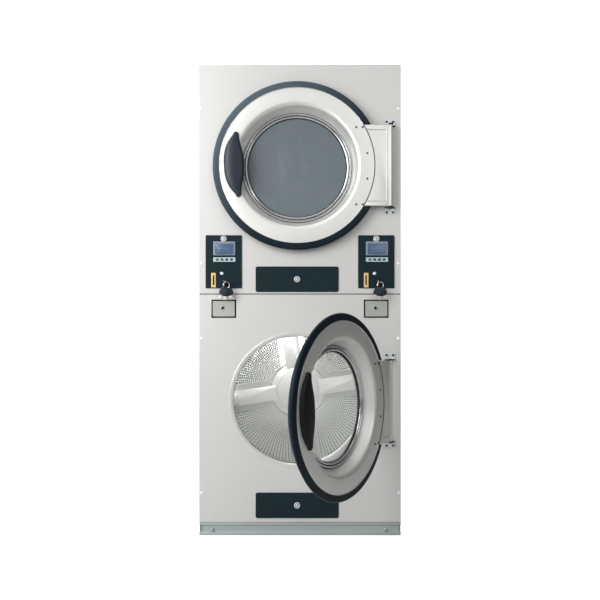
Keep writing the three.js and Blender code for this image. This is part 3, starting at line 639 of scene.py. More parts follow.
def door(pocket, angle, glass):
    """Every piece of one door, drawn closed about its own centre and then swung about the hinge axis."""
    body = f"{pocket}_door"
    hinge = np.array(JOINTS[f"{pocket}_door_swing"]["pos_m"]) * M
    swing = about("Z", angle)

    def make(name, parts, material, slot, stands_for=()):
        closed = [moved(p, (-REACH, 0, 0)) for p in (parts if isinstance(parts, list) else [parts])]
        hung = [moved(p, hinge, swing) for p in closed]
        return piece(f"{pocket}_{name}", hung, material, body, stands_for)

    # The rim, the pressed face with its skirt, and the bright bead between them.
    rim = fillet([(RIM_IN, REAR_Y), (RIM_BACK, REAR_Y), (RIM_OUT, 7), (RIM_OUT - 1, -4), (RIM_IN, -4)],
                 [1, 2, 8, 9, 3.5], 7)
    # The upper door's rim has the painted sheen; the lower one has the plain plastic.
    rim_finish = rim_painted_sheen if pocket == "upper" else rim_plastic
    make("rim", lathe(rim, ROUND, cut=RIM_CUT), rim_finish, "rim_plastic", [f"{pocket}_door_rim"])

    shell = fillet(
        [
            (FACE_R, FACE_Y + SHEET), (FACE_R, FACE_Y), (CONE_R, FACE_Y), (SEAT_OUT, SEAT_Y),
            (SEAT_IN, SEAT_Y), (SEAT_IN, SEAT_Y + SHEET), (SEAT_OUT + 1.2, SEAT_Y + SHEET),
            (CONE_R + 1.2, FACE_Y + SHEET),
        ],
        [0, 1.2, 22, 4, 0.7, 0.7, 5.5, 20.5], 8,
    )
    inner = FACE_R - SHEET
    skirt = [(inner, FACE_Y + SHEET), (FACE_R, FACE_Y + SHEET), (FACE_R, REAR_Y), (inner, REAR_Y)]
    face = [lathe(shell, ROUND), lathe(skirt, ROUND, cut=SKIRT_CUT)]
    make("frame", face, steel, "stainless_steel", [f"{pocket}_door_frame"])
    lip = fillet([(334.2, 1), (336.2, 1), (336.2, -4.6), (334.2, -4.6)], [0.2, 0.2, 0.9, 0.9], 3)
    make("rim_bead", lathe(lip, ROUND, cut=RIM_CUT), chrome, "stainless_steel")

    # The glass between its seals, two rings in front and a clamp behind.
    def bead(inner, outer, height):
        line = [(inner, SEAT_Y), (inner, SEAT_Y - height), (outer, SEAT_Y - height), (outer, SEAT_Y)]
        return lathe(fillet(line, [0, height * 0.9, height * 0.9, 0], 6), ROUND)

    make("glass_ring", [bead(217.5, 226.8, 6), bead(228.8, 238, 7)], chrome, "stainless_steel")
    gasket = [(215.4, 49.2), (240.6, 49.2), (240.6, 49.95), (215.4, 49.95)]
    channel = fillet([(214, 51.6), (236, 51.6), (236, 60), (214, 60)], [1, 1, 3, 3], 4)
    make("glass_seal", [lathe(gasket, ROUND), lathe(channel, ROUND)], rubber, "belt_rubber")
    bow = np.linspace(0, 1, 14)
    crown, near_y, far_y = 1.2 * (1 - bow**2), 51.9, 57.9
    pane = np.stack([GLASS_R * np.concatenate([bow, bow[::-1]]),
                     np.concatenate([near_y + crown, far_y + crown[::-1]])], -1)
    make("glass", lathe(pane, HALF_ROUND, closed=False), glass, "door_glass", [f"{pocket}_door_glass"])
    clamp_y = 61.5
    clamp = fillet([(212, clamp_y), (246, clamp_y), (246, 60), (212, 60)], [1.2, 1.2, 0.4, 0.4], 4)
    make("glass_clamp", lathe(clamp, HALF_ROUND), steel, "stainless_steel")

    # The back pan with the seal that meets the mouth.
    pan_y, pan_back = 28, 29.5
    pan = fillet([(253.6, pan_y), (333.3, pan_y), (333.3, pan_back), (253.6, pan_back)],
                 [0.4, 0.4, 0.6, 0.6], 2)
    seal = fillet([(296, pan_back), (296, 36.5), (312, 36.5), (312, pan_back)], [0, 6.5, 6.5, 0], 6)
    make("back_pan", lathe(pan, ROUND), steel, "stainless_steel")
    make("door_seal", lathe(seal, HALF_ROUND), rubber, "belt_rubber")
    rear_screw = moved(screw(4.5, 2.2), turn=about("Z", 180))
    a = np.arange(12) * math.pi / 6 + 0.26
    ring = np.stack([GLASS_R * np.cos(a), np.full_like(a, clamp_y), GLASS_R * np.sin(a)], -1)
    make("clamp_screws", [moved(rear_screw, place) for place in ring], chrome, "chrome")

    # The lower pull takes the darker black plastic, a painted-shade copy of the upper pull's plastic.
    pull_finish = handle_plastic if pocket == "upper" else black
    make("handle", handle_part(), pull_finish, "handle_plastic", [f"{pocket}_door_handle"])

    # The hinge side: a leaf, its barrel, a raised line with a painted shadow line beside it, screws, painted
    # shadow lines along the leaf's top and bottom edges, and painted shade in the gap round it.
    leaf = arc_plate(LEAF_R, REACH - 5.6, PLATE_HALF, FACE_Y, 2.8, 0.7)
    tongue = arc_plate(TONGUE_R, REACH - 60, PLATE_HALF - 1, -0.15, 2.75, 0.2)
    barrel = fillet([(4.6, -PLATE_HALF), (7, -PLATE_HALF), (7, PLATE_HALF), (4.6, PLATE_HALF)],
                    [0.2, 0.8, 0.8, 0.2], 3)
    upright = moved(moved(lathe(barrel, 28), turn=about("X", 90)), (REACH, 0, 0))
    make("hinge_leaf", [leaf, tongue], steel, "stainless_steel", [f"{pocket}_hinge_plate"])
    make("hinge_barrel", upright, paint, "stainless_steel")
    reach, side = 155.0, REACH - 17
    start = math.sqrt(EMBOSS_R**2 - reach**2)
    corners = [(start, reach), (side, reach), (side, -reach), (start, -reach)]
    frame_line = fillet(corners, [0, 4, 4, 0], 5, closed=False)
    path = np.stack([frame_line[:, 0], np.full(len(frame_line), FACE_Y - 0.1), frame_line[:, 1]], -1)
    make("leaf_emboss", tube(path, 2.4, 10), steel, "stainless_steel")
    # A painted shadow line beside the raised line.
    make("leaf_crease", tube(path * [0.99, 1, 0.982], 1.1, 8), vault_paint, "stainless_steel")
    heads = [(255, 164), (255, -169), (283, 164), (283, -169), (303, 52), (303, -58)]
    make("hinge_screws", [moved(screw(4.6, 2.2), (x, FACE_Y, z)) for x, z in heads], iron, "chrome")
    a = np.linspace(-1, 1, 48) * math.asin((PLATE_HALF - 2) / GAP_R)
    gap = np.stack([GAP_R * np.cos(a), np.full_like(a, FACE_Y + 0.5), GAP_R * np.sin(a)], -1)
    # Painted shadow lines along the leaf's top and bottom edges, and painted shade in the gap round it.
    edges = [box_part((FACE_R + 1, REACH - 8), (FACE_Y + 0.2, 2.6), (z, z + 0.8), 0.1)
             for z in (-PLATE_HALF - 0.9, PLATE_HALF + 0.1)]
    make("leaf_edges", edges, shade_black, "belt_rubber")
    make("leaf_gap", tube(gap, 2.1, 8), shade_black, "belt_rubber")


LOWER_DOOR_OPEN = 56.7
door("lower", LOWER_DOOR_OPEN, glass_clear)
# The upper door's pane carries the veil of painted shade; the lower pane is clear.
door("upper", 0.0, glass_painted_shade)

for pocket in POCKETS:
    for end in ("top", "bottom"):
        bracket = f"{pocket}_hinge_bracket_{end}"
        low, high = limits(bracket)
        # The bracket's front faces are black, partly its dark arm and partly painted shadow under it; the flange
        # behind takes the light paint.
        refined(bracket, black, 0.6, flange_paint, high[1] - 4)
        z = high[2] - 9 if end == "top" else low[2] + 9
        heads = [(middle(bracket)[0] + x, high[1] - 3, z) for x in (-14, 14)]
        screws(f"{bracket}_screws", heads, 5.0, 2.2, black)


# ---------------------------------------------------------------- drums
DRUM_R, DRUM_MOUTH = 395.0, 300.0
LIFTERS, LIFTER_TURN = 4, -8.0
HUB_R, RIM_R, BAND, MARGIN = 146.0, 388.0, 84.0, 146.0


def back_wall(y):
    """Four perforated sectors between four plain strips that run out to the wall; a row is an arc of holes,
    and a strip's edges are straight, so its half angle is the arcsine of half its width over the radius."""
    rows, cols = 23, 25
    radius = np.linspace(HUB_R, RIM_R, rows + 1)
    row_height = (RIM_R - HUB_R) / rows
    centre = (radius[:-1] + radius[1:]) / 2
    opening = math.pi / 2 - 2 * np.arcsin(MARGIN / 2 / centre)
    parts = []
    for k in range(LIFTERS):
        axis = math.pi / 2 * k

        def place(u, v, axis=axis):
            r = HUB_R + u * row_height
            edge = np.arcsin(MARGIN / 2 / r)
            a = axis + edge + (math.pi / 2 - 2 * edge) * v / cols
            return np.stack([r * np.cos(a), np.full_like(r, y), r * np.sin(a)], -1)

        parts.append(perforated(place, rows, cols, row_height, centre * opening / cols, 0.6))
        r = np.linspace(HUB_R, RIM_R, 2 * rows + 1)[:, None]
        a = axis + np.arcsin(MARGIN / 2 / r) * np.linspace(-1, 1, 9)
        strip = np.stack([r * np.cos(a), np.full(a.shape, y), r * np.sin(a)], -1)
        parts.append(skin(strip))
    return parts


def drum_side(front, back):
    """The round wall, perforated all over but for plain strips at its ends."""
    rows, cols, plain, share = 26, 92, 22.0, 0.5
    pitch = (back - front - 2 * plain) / rows

    def place(u, v):
        a = 2 * math.pi * v / cols
        return np.stack([DRUM_R * np.cos(a), front + plain + u * pitch, DRUM_R * np.sin(a)], -1)

    ends = [lathe([(DRUM_R, y), (DRUM_R, y + width)], 2 * cols, closed=False)
            for y, width in ((front, plain), (back, -plain))]
    return [perforated(place, rows, cols, pitch, 2 * math.pi * DRUM_R / cols, share)] + ends


def drum(pocket):
    name = f"{pocket}_drum"
    (_, front, _), (_, back, _) = limits(name)
    x, _, z = middle(name)
    at, tilt = (x, 0, z), about("Y", LIFTER_TURN)
    body, wall, disc_y = BODY_OF[name], 1.2, back - 1.4

    def make(label, parts, stands_for=(), solidify=0.0):
        parts = [moved(p, at, tilt) for p in (parts if isinstance(parts, list) else [parts])]
        # The hub and bands take the lighter copy of the drum steel, painted light.
        material = drum_lit_steel if label in ("hub", "bands") else drum_steel
        return piece(f"{name}_{label}", parts, material, body, stands_for, solidify)

    def four(part):
        return [moved(part, turn=about("Y", 360 / LIFTERS * k)) for k in range(LIFTERS)]

    make("side", drum_side(front + 2, back - 2), [name], wall)
    outer = lathe([(RIM_R, disc_y), (DRUM_R - 2, disc_y)], HALF_ROUND, closed=False)
    make("back", back_wall(disc_y) + [outer], solidify=wall)
    lip_in, lip_y = DRUM_MOUTH + 1.5, front + 1.5
    lip = fillet([(DRUM_R, front), (DRUM_MOUTH, front), (DRUM_MOUTH, front + 14), (lip_in, front + 14),
                  (lip_in, lip_y), (DRUM_R, lip_y)], [0, 5, 0, 0, 3.5, 0], 5)
    make("front", lathe(lip, HALF_ROUND))
    hub = fillet([(0, back - 12), (106, back - 12), (112, back - 8.5), (HUB_R - 3, back - 6),
                  (HUB_R + 3, back - 1.6)], [0, 3, 3, 4, 0], 4, closed=False)
    make("hub", lathe(hub, HALF_ROUND, closed=False), solidify=wall)
    band = rectangle(BAND, RIM_R - HUB_R + 60, 3, 0, (RIM_R + HUB_R - 36) / 2)
    make("bands", four(plate(band, back - 8.5, back - 1.5, 3.2, 5)))
    foot, crest, ridge = 64.2, 26, DRUM_R - 72
    vane = fillet([(-foot, DRUM_R - 1), (-crest, ridge), (crest, ridge), (foot, DRUM_R - 1)],
                  [0, 12, 12, 0], 6)
    make("lifters", four(plate(vane, front + 12, back - 3, 1.0, 2)))


for pocket in POCKETS:
    drum(pocket)


# ---------------------------------------------------------------- cabinet front
def pierced(x, z, holes, front, back):
    """A flat rectangle with rectangular holes: a lattice on the holes' edges, less the cells inside them."""
    xs = np.unique(np.concatenate([x, *[h[:2] for h in holes]]))
    zs = np.unique(np.concatenate([z, *[h[2:] for h in holes]]))
    missing = [
        (i, k)
        for i in range(len(xs) - 1)
        for k in range(len(zs) - 1)
        for x0, x1, z0, z1 in holes
        if x0 < (xs[i] + xs[i + 1]) / 2 < x1 and z0 < (zs[k] + zs[k + 1]) / 2 < z1
    ]
    return lattice(xs, zs, front, back, missing)


def round_hole(cx, cz, reach, radius, front, back, count=160):
    """The square of a panel round a circular hole: the square's edge joined to the circle at equal angles,
    and a triangle at each corner."""
    a = 2 * math.pi * (np.arange(count) + 0.5) / count
    ray = np.stack([np.cos(a), np.sin(a)], -1)
    square = ray * reach / np.abs(ray).max(1, keepdims=True)
    loops = np.stack([square, ray * radius]) + [cx, cz]
    eighth = count // 8
    parts = []
    for y in (front, back):
        sheet = np.stack([loops[..., 0], np.full(loops.shape[:2], y), loops[..., 1]], -1)
        parts.append(skin(sheet, wrap_cols=True))
    for y in (front, back):
        for q, (sx, sz) in enumerate(((1, 1), (-1, 1), (-1, -1), (1, -1))):
            last = (2 * q + 1) * eighth
            flat = [(cx + sx * reach, cz + sz * reach), *loops[0, last - 1:last + 1]]
            parts.append((np.array([(x, y, z) for x, z in flat]), [[0, 1, 2]], np.array(flat)))
    return parts


MOUTH_R, COLLAR, PANEL_SHEET = 280.0, 38.0, 1.5
MOUTH_SQUARE, RING_OUT, RING_PROUD = 300.0, 297.0, 2.4
DRAWER_HOLE = (173, 51)
CAP_X, CAP_Z = 430, {"upper": (1861.7, 1187.3), "lower": (859.9, 185.5)}


def front_panel(pocket):
    """The flat panel with its holes, and its mouth: a proud ring, a collar and a felt ring where it ends, near
    black as painted shade for the gap behind the collar.
    """
    name = f"{pocket}_front_panel"
    low, high = limits(name)
    x, _, z = middle(f"{pocket}_drum")
    drawer_z = middle(f"{pocket}_lint_drawer")[2]
    wide, tall = DRAWER_HOLE
    holes = [(x - MOUTH_SQUARE, x + MOUTH_SQUARE, z - MOUTH_SQUARE, z + MOUTH_SQUARE),
             (x - wide, x + wide, drawer_z - tall, drawer_z + tall)]
    behind, grow_x, grow_z = ("coin_vault", 6, 6) if pocket == "lower" else ("control_plate", -14, -7)
    for side in SIDES:
        a, b = limits(f"{side}_{behind}")
        holes.append((a[0] - grow_x, b[0] + grow_x, a[2] - grow_z, b[2] + grow_z))
    sheet = pierced((-HALF, HALF), (low[2], high[2]), holes, FRONT, FRONT + PANEL_SHEET)
    mouth = round_hole(x, z, MOUTH_SQUARE, MOUTH_R + 1, FRONT, FRONT + PANEL_SHEET)
    piece(f"{name}_sheet", [sheet] + mouth, paint, "cabinet", [name])
    collar_y, proud_y, inside = FRONT + COLLAR, FRONT - RING_PROUD, MOUTH_R + 1.5
    ring = fillet(
        [(MOUTH_R, collar_y), (MOUTH_R, proud_y), (RING_OUT, proud_y), (RING_OUT, FRONT - 0.05),
         (inside, FRONT - 0.05), (inside, collar_y)],
        [0, 2.2, 2, 0, 0, 0], 5,
    )
    ring_part = moved(lathe(ring, ROUND), (x, 0, z))
    piece(f"{pocket}_mouth_ring", ring_part, drum_steel, "cabinet")
    # The felt is near black: painted shade in the gap between collar and drum.
    felt_in, felt_back, felt_out = MOUTH_R - 0.6, FRONT + 43, 299
    felt = fillet(
        [(felt_in, collar_y - 2), (felt_in, felt_back), (felt_out, felt_back), (felt_out, collar_y + 0.4),
         (MOUTH_R + 2, collar_y + 0.4), (MOUTH_R + 2, collar_y - 2)],
        [0.2, 2, 1, 0, 1, 0.2], 3,
    )
    felt_part = moved(lathe(felt, HALF_ROUND), (x, 0, z))
    piece(f"{pocket}_mouth_felt_shade", felt_part, shade_black, "cabinet")
    caps = [moved(dome(7.5, 2.6), (side_x, FRONT, height)) for side_x in (-CAP_X, CAP_X)
            for height in CAP_Z[pocket]]
    piece(f"{pocket}_panel_caps", caps, white_plastic, "cabinet")


for pocket in POCKETS:
    front_panel(pocket)


# ---------------------------------------------------------------- control stations
def plug_lock(radius, height, slot=2.2):
    """A cam lock's face at the origin: a rounded collar, a groove, and a plug with a keyway; the groove and keyway
    come back apart, to be painted near black as shade.
    """
    mid, inner = radius * 0.72, radius * 0.52
    collar = fillet([(mid, 0), (radius, 0), (radius, -height), (mid, -height)],
                    [0, 0.4, radius * 0.2, radius * 0.08], 4)
    groove = [(inner - 0.5, 0), (mid + 0.5, 0), (mid + 0.5, -height * 0.3), (inner - 0.5, -height * 0.3)]
    end = -height * 0.85
    plug = fillet([(0, 0), (inner, 0), (inner, end), (0, end)], [0, 0, 0.8, 0], 3, closed=False)
    keyway = box_part((-slot / 2, slot / 2), (-height * 0.9, -height * 0.8), (-inner * 0.7, inner * 0.7), 0.1)
    return [lathe(collar, 40), lathe(plug, 32, closed=False)], [lathe(groove, 40), keyway]


def flat_key(at, tilt, y):
    """A key hanging by its head: a round moulded head and a blade with cuts on one edge."""
    head = plate(rectangle(36, 38, 13, 0, -17, 6), -2.2, 2.2, 1.2)
    cut_edge = zip((4.6, 4.6, 2.4, 4.2, 2.2, 4.1, 2.6, 3.8), (-34, -38, -40, -42, -44, -46, -48, -50))
    tip = [(0.8, -53), (-0.8, -53), (-4.6, -50), (-4.6, -34)]
    blade = plate(np.array([*cut_edge, *tip]), -1.2, 1.2, 0.25, 2)
    turn = about("Y", tilt)
    return moved(head, (at[0], y, at[1]), turn), moved(blade, (at[0], y, at[1]), turn)


def station(side):
    """The control plate of one side with its display, buttons, lamp, coin slot, key switch and keys."""
    board = f"{side}_control_plate"
    low, _ = limits(board)
    cx, face = middle(board)[0], low[1]
    on_face = face - 0.02
    refined(board, dark_panel, 0.7)

    def make(label, parts, material, slot, body="cabinet", stands_for=()):
        return piece(f"{side}_{label}", parts, material, body, stands_for)

    # The display and the panel lock above it.
    display_x, bezel_z, screen_z = cx + 2.6, 1252.5, 1249.4
    bezel = rectangle(96, 61, 3, display_x, bezel_z, 5)
    make("bezel", plate(bezel, face - 3.2, face - 0.05, 1.2), bezel_plastic, "dark_panel_paint")
    raised = [(1.6, face - 3.15), (1.4, face - 4.2), (-0.6, face - 4.4), (-1.2, face - 3.6),
              (-1.2, face - 3.15)]
    around = moulding(rectangle(78, 45.5, 2, display_x, screen_z, 4), raised)
    make("screen_frame", around, button_plastic, "dark_panel_paint")
    pane = plate(rectangle(76, 43.5, 1, display_x, screen_z, 3), face - 3.5, face - 3.1, 0.1)
    make("screen", pane, screen, "dark_panel_paint")
    rows = ((-28, 4, 10, 12.5), (-28, 22, 1, 5), (-28, -8, -10, -7.5), (-2, 10, -10, -7.5),
            (16, 28, -10, -7.5))
    bars = [box_part((display_x + x0, display_x + x1), (face - 3.62, face - 3.45),
                     (screen_z + z0, screen_z + z1), 0.05) for x0, x1, z0, z1 in rows]
    make("screen_bars", bars, screen_ink, "dark_panel_paint")
    bright, dark = plug_lock(13, 7)
    lock_at = (cx, on_face, 1294)
    make("panel_lock", [moved(p, lock_at) for p in bright], lock_metal, "chrome")
    # The groove and keyway in near black: painted shade.
    make("panel_lock_slot", [moved(p, lock_at) for p in dark], shade_black, "dark_panel_paint")

    # The buttons in their strip.
    buttons = [limits(f"{side}_button_{i}") for i in range(1, 5)]
    flange, play = 2, 0.6
    edge = flange - play
    holes = [(a[0] + edge, b[0] - edge, a[2] + edge, b[2] - edge) for a, b in buttons]
    middle_z = middle(f"{side}_button_1")[2]
    strip_x, strip_z = (display_x - 48, display_x + 48), (middle_z - 9.5, middle_z + 9.5)
    strip = pierced(strip_x, strip_z, holes, face - 1.5, on_face)
    make("button_strip", strip, strip_plastic, "dark_panel_paint")
    for i, (a, b) in enumerate(buttons, 1):
        wide, _, tall = b - a - 2 * flange
        mid = middle(f"{side}_button_{i}")
        cap = plate(rectangle(wide, tall, 2.6, mid[0], mid[2], 5), a[1], a[1] + 9, 1.3, 4)
        back = box_part((a[0], b[0]), (b[1] - 2.4, b[1]), (a[2], b[2]), 0.3)
        colour = button_green if i == 1 else button_plastic
        make(f"button_{i}_cap", [cap, back], colour, "button_plastic", f"{side}_button_{i}_set",
             [f"{side}_button_{i}"])

    # A seam down the lower half of the plate, a strip of painted shade, and the lamp.
    seam = box_part((cx - 0.5, cx + 0.5), (face - 0.25, on_face), (low[2] + 3, strip_z[0]), 0.05)
    make("seam", seam, shade_black, "dark_panel_paint")
    ring = fillet([(6, 0), (7.4, 0), (7.4, -2.2), (6, -2.2)], [0, 0.4, 0.6, 0.4], 3)
    lamp_at = (cx - 8.3, on_face, 1143.6)
    make("lamp_ring", moved(lathe(ring, 32), lamp_at), chrome, "chrome")
    make("lamp", moved(dome(6.1, 3.5), lamp_at), white_plastic, "button_plastic")

    # The coin slot, with painted shade in its throat.
    coin_x, coin_z, plate_y = cx - 44.3, 1114.1, face - 2.6
    slot_x, slot_z = (coin_x - 3.4, coin_x + 3.4), (coin_z - 21, coin_z + 21)
    coin = pierced((coin_x - 9.8, coin_x + 9.8), (coin_z - 31.6, coin_z + 31.6), [slot_x + slot_z],
                   plate_y, face - 0.04)
    make("coin_plate", coin, brass, "chrome")
    raised = [(1.4, plate_y), (1.2, face - 4.4), (0.2, face - 4.6), (-0.8, face - 4), (-0.8, plate_y)]
    make("coin_lip", moulding(rectangle(8.8, 44.4, 1.2, coin_x, coin_z, 3), raised), brass, "chrome")
    # The throat is a near-black box: painted shade inside the slot.
    throat = box_part(slot_x, (face - 0.6, face - 0.04), slot_z, 0.05)
    make("coin_throat", throat, shade_black, "dark_panel_paint")
    heads = [(coin_x, plate_y, coin_z + z) for z in (-26.5, 26.5)]
    screws(f"{side}_coin_screws", heads, 2.2, 1.2, machined)

    # The key switch, and three keys on a ring that hangs askew from its bow.
    switch = f"{side}_key_switch"
    switch_y = limits(switch)[0][1]
    key_x, _, key_z = middle(switch)
    refined(switch, chrome, 0.4, black, switch_y + 25)
    collar = fillet([(9.9, face), (14, face), (13, face - 3), (9.9, face - 3.4)], [0, 0.3, 1, 0.6], 3)
    make("key_collar", moved(lathe(collar, 40), (key_x, 0, key_z)), black, "chrome")
    hole_y, drop = switch_y + 7, 13.5
    aside = drop * math.sqrt(0.5)
    a = np.linspace(0, 2 * math.pi, 40, endpoint=False)
    loop = drop * np.stack([np.cos(a), np.zeros_like(a), np.sin(a)], -1)
    loop += [key_x + aside, hole_y, key_z - aside]
    make("key_ring", tube(loop, 0.9, 8, closed=True), chrome, "chrome")
    keys = [flat_key((key_x + aside + shift, key_z - aside - drop + 1), tilt, hole_y + depth)
            for shift, tilt, depth in ((-3.0, 27, -5.5), (0.0, 3, 0.0), (3.0, -24, 5.5))]
    make("key_heads", [head for head, _ in keys], handle_plastic, "handle_plastic")
    make("key_blades", [blade for _, blade in keys], key_brass, "chrome")


def vault(side):
    """One coin vault: its painted front, a near-black housing behind it as painted shade, and a cam lock."""
    name = f"{side}_coin_vault"
    low, high = limits(name)
    x, _, z = middle(name)
    refined(name, vault_paint, 0.8)
    outline = rectangle(high[0] - low[0] + 12, high[2] - low[2] + 12, 1.0, x, z, 2)
    inner, outer, mouth_y, end_y = 0.2, 1.4, FRONT + PANEL_SHEET + 0.2, high[1] + 8
    tunnel = moulding(outline, [(outer, mouth_y), (inner, mouth_y), (inner, end_y), (outer, end_y)])
    back = plate(outline, end_y + 0.2, end_y + 1.5, 0.1, 1)
    # The housing is near black: painted shade in the gap round the vault.
    piece(f"{side}_vault_housing", [tunnel, back], shade_black, "cabinet")
    (collar, plug), grooves = plug_lock(9, 3, 3)
    at = (x - 4, low[1] - 0.02, z + 3)
    dark = [moved(p, at) for p in [plug, *grooves]]
    piece(f"{side}_vault_lock", moved(collar, at), machined, BODY_OF[name])
    # The plug and grooves in near black: painted shade in the keyway.
    piece(f"{side}_vault_keyway", dark, shade_black, BODY_OF[name])


for side in SIDES:
    station(side)
    vault(side)

# Each lint drawer, with a cam lock whose cam turns up behind the drawer's front.
for pocket in POCKETS:
    drawer = f"{pocket}_lint_drawer"
    refined(drawer, dark_panel, 0.9)
    lock = f"{pocket}_lint_lock"
    bright, dark = plug_lock(13, 5.5, 2.6)
    at = (middle(lock)[0], limits(lock)[0][1] + 5.6, middle(drawer)[2])
    shank = lathe([(0, 0), (12.4, 0), (12.4, 17.2), (0, 17.2)], 32, closed=False)
    cam = box_part((-8, 8), (13, 17), (-8, 34), 0.6)
    solid = [moved(p, at) for p in [*bright, shank, cam]]
    piece(f"{lock}_head", solid, lock_metal, BODY_OF[lock], [lock])
    # The keyway in near black: painted shade.
    piece(f"{lock}_keyway", [moved(p, at) for p in dark], shade_black, BODY_OF[lock])


# ---------------------------------------------------------------- shell and base
for panel in ("left_side_panel", "right_side_panel", "top_panel"):
    refined(panel, paint, 0.5)

low, high = limits("base_frame")
footprint = rectangle(high[0] - low[0], high[1] - low[1], 1.5, 0, 0, 3)
channel = fillet(
    [(-30, 56.9), (0, 56.9), (0, 46.5), (-5, 44), (-5, 18), (0, 15.5), (0, 0), (-3, 0), (-3, 13), (-8, 15.5),
     (-8, 45), (-30, 53.5)],
    [0, 1.2, 1.2, 1.5, 1.5, 1.2, 0.8, 0.3, 1, 1.5, 1.5, 0], 3,
)
skirting = moved(moulding(footprint, channel), turn=about("X", 90))
piece("base_channel", skirting, plinth, "cabinet", ["base_frame"])
rail = box_part((low[0] + 4, high[0] - 4), (-50, 50), (0, 6), 0.5)
deck_part = plate(rectangle(high[0] - low[0] - 50, high[1] - low[1] - 50, 1), -56.5, -54, 0.3)
piece("base_tray", [rail, moved(deck_part, turn=about("X", -90))], plinth, "cabinet")
bolts = [moved(screw(8.5, 7, 0.35), (x, low[1] + 5, 24)) for x in (-382, 375)]
piece("base_bolts", bolts, zinc, "cabinet")

side_rows = [(y, z) for y in np.linspace(FRONT + 22, BACK - 22, 5) for z in (BASE_TOP + 18, TOP - 18)]
for sign, name, start in ((-1, "left", BACK - 30), (1, "right", FRONT + 30)):
    turn = about("Z", 90 * sign)
    heads = [(sign * HALF, y, z) for y, z in side_rows]
    screws(f"{name}_side_screws", heads, 6, 3, zinc, turn)
    # Each side seam is a near-black strip: painted shade in the joint.
    seam = box_part((0, BACK - FRONT - 60), (0, 0.5), (-1.2, 1.2), 0.2)
    turned = moved(seam, (sign * HALF, start, DECK), turn)
    piece(f"{name}_side_seam", turned, shade_black, "cabinet")

# The front seam is a near-black strip, painted shade in the gap between the panels; the top seam is plain paint.
for name, y, z, material in (
    ("front_seam", FRONT + 0.7, (DECK - 2.2, DECK + 2.2), shade_black),
    ("top_seam", FRONT + 0.4, (TOP - 5.5, TOP - 1.6), paint),
):
    piece(name, box_part((-HALF + 2, HALF - 2), (y, y + 1), z, 0.1), material, "cabinet")


# ---------------------------------------------------------------- rear
LOUVRE_DEPTH = 9.0


def louvre(width, height):
    """A pressed louvre at the origin, facing -Y: half a superellipse section that fades out at both ends."""
    u = np.linspace(-1, 1, 25)
    fade = np.clip(1 - np.abs(u) ** 8, 0, 1) ** 0.5
    t = np.linspace(0, 1, 9)
    rise = np.sin(t * math.pi / 2) ** 0.8
    x = u[:, None] * width / 2 * np.ones_like(t)
    z = (0.5 - t) * height * np.ones_like(x)
    y = -LOUVRE_DEPTH * rise * fade[:, None]
    top = skin(np.stack([x, y, z], -1), size=(width, height))
    under = skin(np.stack([x[:, -1:] * [1, 1], np.stack([y[:, -1], 0 * u], -1), z[:, -1:] * [1, 1]], -1))
    return joined([top, under])


rear = about("Z", 180)
slats, rear_heads = [], []
for pocket in POCKETS:
    z = middle(f"{pocket}_drum")[2]
    slats += [moved(louvre(150, 22), (x, BACK, z + 190 + 34 * row), rear)
              for x in (-190, 190) for row in range(6)]
    rear_heads += [(x, BACK, z + rise) for x in (-410, 0, 410) for rise in (-430, 430)]
    rear_heads += [(x, BACK, z) for x in (-410, 410)]
piece("rear_louvres", slats, zinc, "cabinet", solidify=0.8)
screws("rear_screws", rear_heads, 5.5, 2.5, machined, rear)

STUB = 100.0
for pocket in POCKETS:
    low, high = limits(f"{pocket}_exhaust_duct")
    end = high[1]
    flange = fillet(
        [(93.4, BACK + 6), (98, BACK + 2), (118, BACK + 2), (118, BACK + 0.4), (96, BACK + 0.4),
         (93.4, BACK + 1)],
        [1, 4, 0.5, 0.5, 0.5, 0.3], 4,
    )
    mouth = fillet(
        [(93.5, end - 34), (95.6, end - 34), (95.6, end - 12), (97.4, end - 9), (95.6, end - 6), (95.6, end),
         (93.2, end), (93.2, end - 34)],
        [0, 0.5, 1, 1, 1, 0.3, 0.3, 0], 3,
    )
    collars = [moved(lathe(line, 72), (low[0] + STUB, 0, low[2] + STUB)) for line in (flange, mouth)]
    piece(f"{pocket}_duct_collar", collars, zinc, "cabinet")


# ---------------------------------------------------------------- stage, light and camera
def lamp(name, place, target, size, power):
    data = bpy.data.lights.new(name, "AREA")
    data.shape = "RECTANGLE"
    data.size, data.size_y = size
    data.energy = power
    obj = bpy.data.objects.new(name, data)
    obj.location = place
    obj.rotation_mode = "QUATERNION"
    obj.rotation_quaternion = (Vector(target) - Vector(place)).to_track_quat("-Z", "Y")
    bpy.context.scene.collection.objects.link(obj)


floor_paint, tree, shader = plain("floor")
seen = node(tree, "LightPath").outputs["Is Camera Ray"]
feed(shader, [
    ("Base Color", shade((0.6, 0.6, 0.6))), ("Roughness", 0.9), ("Specular IOR Level", 0.1),
    ("Emission Color", shade((1, 1, 1))), ("Emission Strength", times(seen, 0.9)),
])
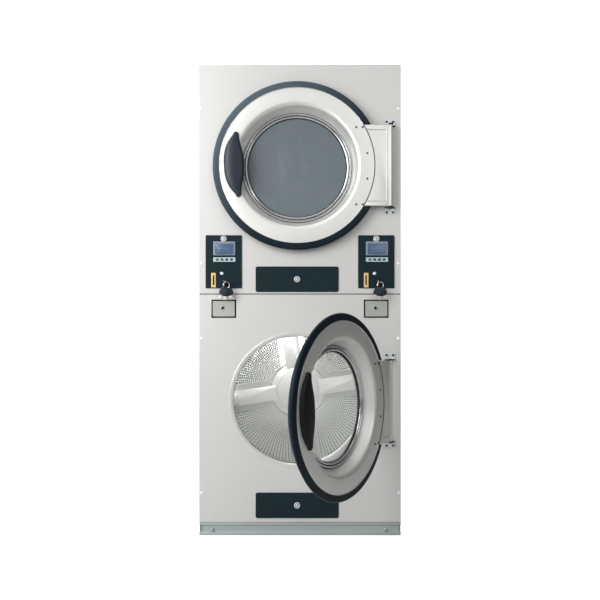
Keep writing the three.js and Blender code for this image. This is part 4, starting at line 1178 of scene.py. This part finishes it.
# The floor runs far out in front and turns up behind the object on a quarter circle.
reach, near, far, bend, height = 9000.0, -8000, 4500, 1500.0, 9000
a = np.linspace(0, math.pi / 2, 16)
curve = [(near, 0), *zip(far + bend * np.sin(a), bend * (1 - np.cos(a))), (far + bend, height)]
points, faces, _ = skin(np.array([[(x, y, z) for y, z in curve] for x in (-reach, reach)]))
sweep = bpy.data.meshes.new("backdrop")
sweep.from_pydata((points / M).tolist(), [], faces)
sweep.shade_smooth()
sweep.materials.append(floor_paint)
backdrop = bpy.data.objects.new("backdrop", sweep)
bpy.context.scene.collection.objects.link(backdrop)

world = bpy.data.worlds.new("studio")
world.use_nodes = True
sky = world.node_tree
way = node(sky, "SeparateXYZ", [(0, coordinates(sky, "Generated"))]).outputs
level = times(ramp(way["X"], -1.0, low=1.2, high=0.33), ramp(way["Z"], -0.4, low=0.45, high=1.3))
level = times(level, ramp(way["Y"], -1.0, low=0.62, high=0.12))
seen = node(sky, "LightPath").outputs["Is Camera Ray"]
shown = node(sky, "Mix", [(0, seen), (2, level), (3, 1.0)]).outputs[0]
feed(sky.nodes["Background"], [("Strength", shown), ("Color", shade((1, 1, 1)))])
bpy.context.scene.world = world
lamp("key", (-1.9, -2.5, 2.0), (0, -0.5, 1.1), (1.9, 2.3), 74)
lamp("fill", (1.6, -4.2, 2.7), (0, -0.5, 1.4), (2.0, 2.5), 21)
lamp("over", (-0.6, 0.0, 4.2), (0, 0, 1.0), (3, 3), 60)
for pocket, power in (("lower", 2.1), ("upper", 0.1)):
    x, _, z = middle(f"{pocket}_drum") / M
    lamp(f"{pocket}_drum_light", (x - 0.1, FRONT / M + 0.1, z + 0.31), (x, 0.2, z), (0.3, 0.04), power)

camera = bpy.data.cameras.new("camera")
camera.sensor_width = 36
camera.lens = 45.06
camera.shift_y = 0.0775
camera.clip_end = 60
eye = bpy.data.objects.new("camera", camera)
CAMERA_STANDOFF, CAMERA_HEIGHT = 3.278, 0.825
eye.location = (0, FRONT / M - CAMERA_STANDOFF, CAMERA_HEIGHT)
eye.rotation_euler = (math.pi / 2, 0, 0)
bpy.context.scene.collection.objects.link(eye)
bpy.context.scene.camera = eye
bpy.context.scene.view_settings.view_transform = "Standard"
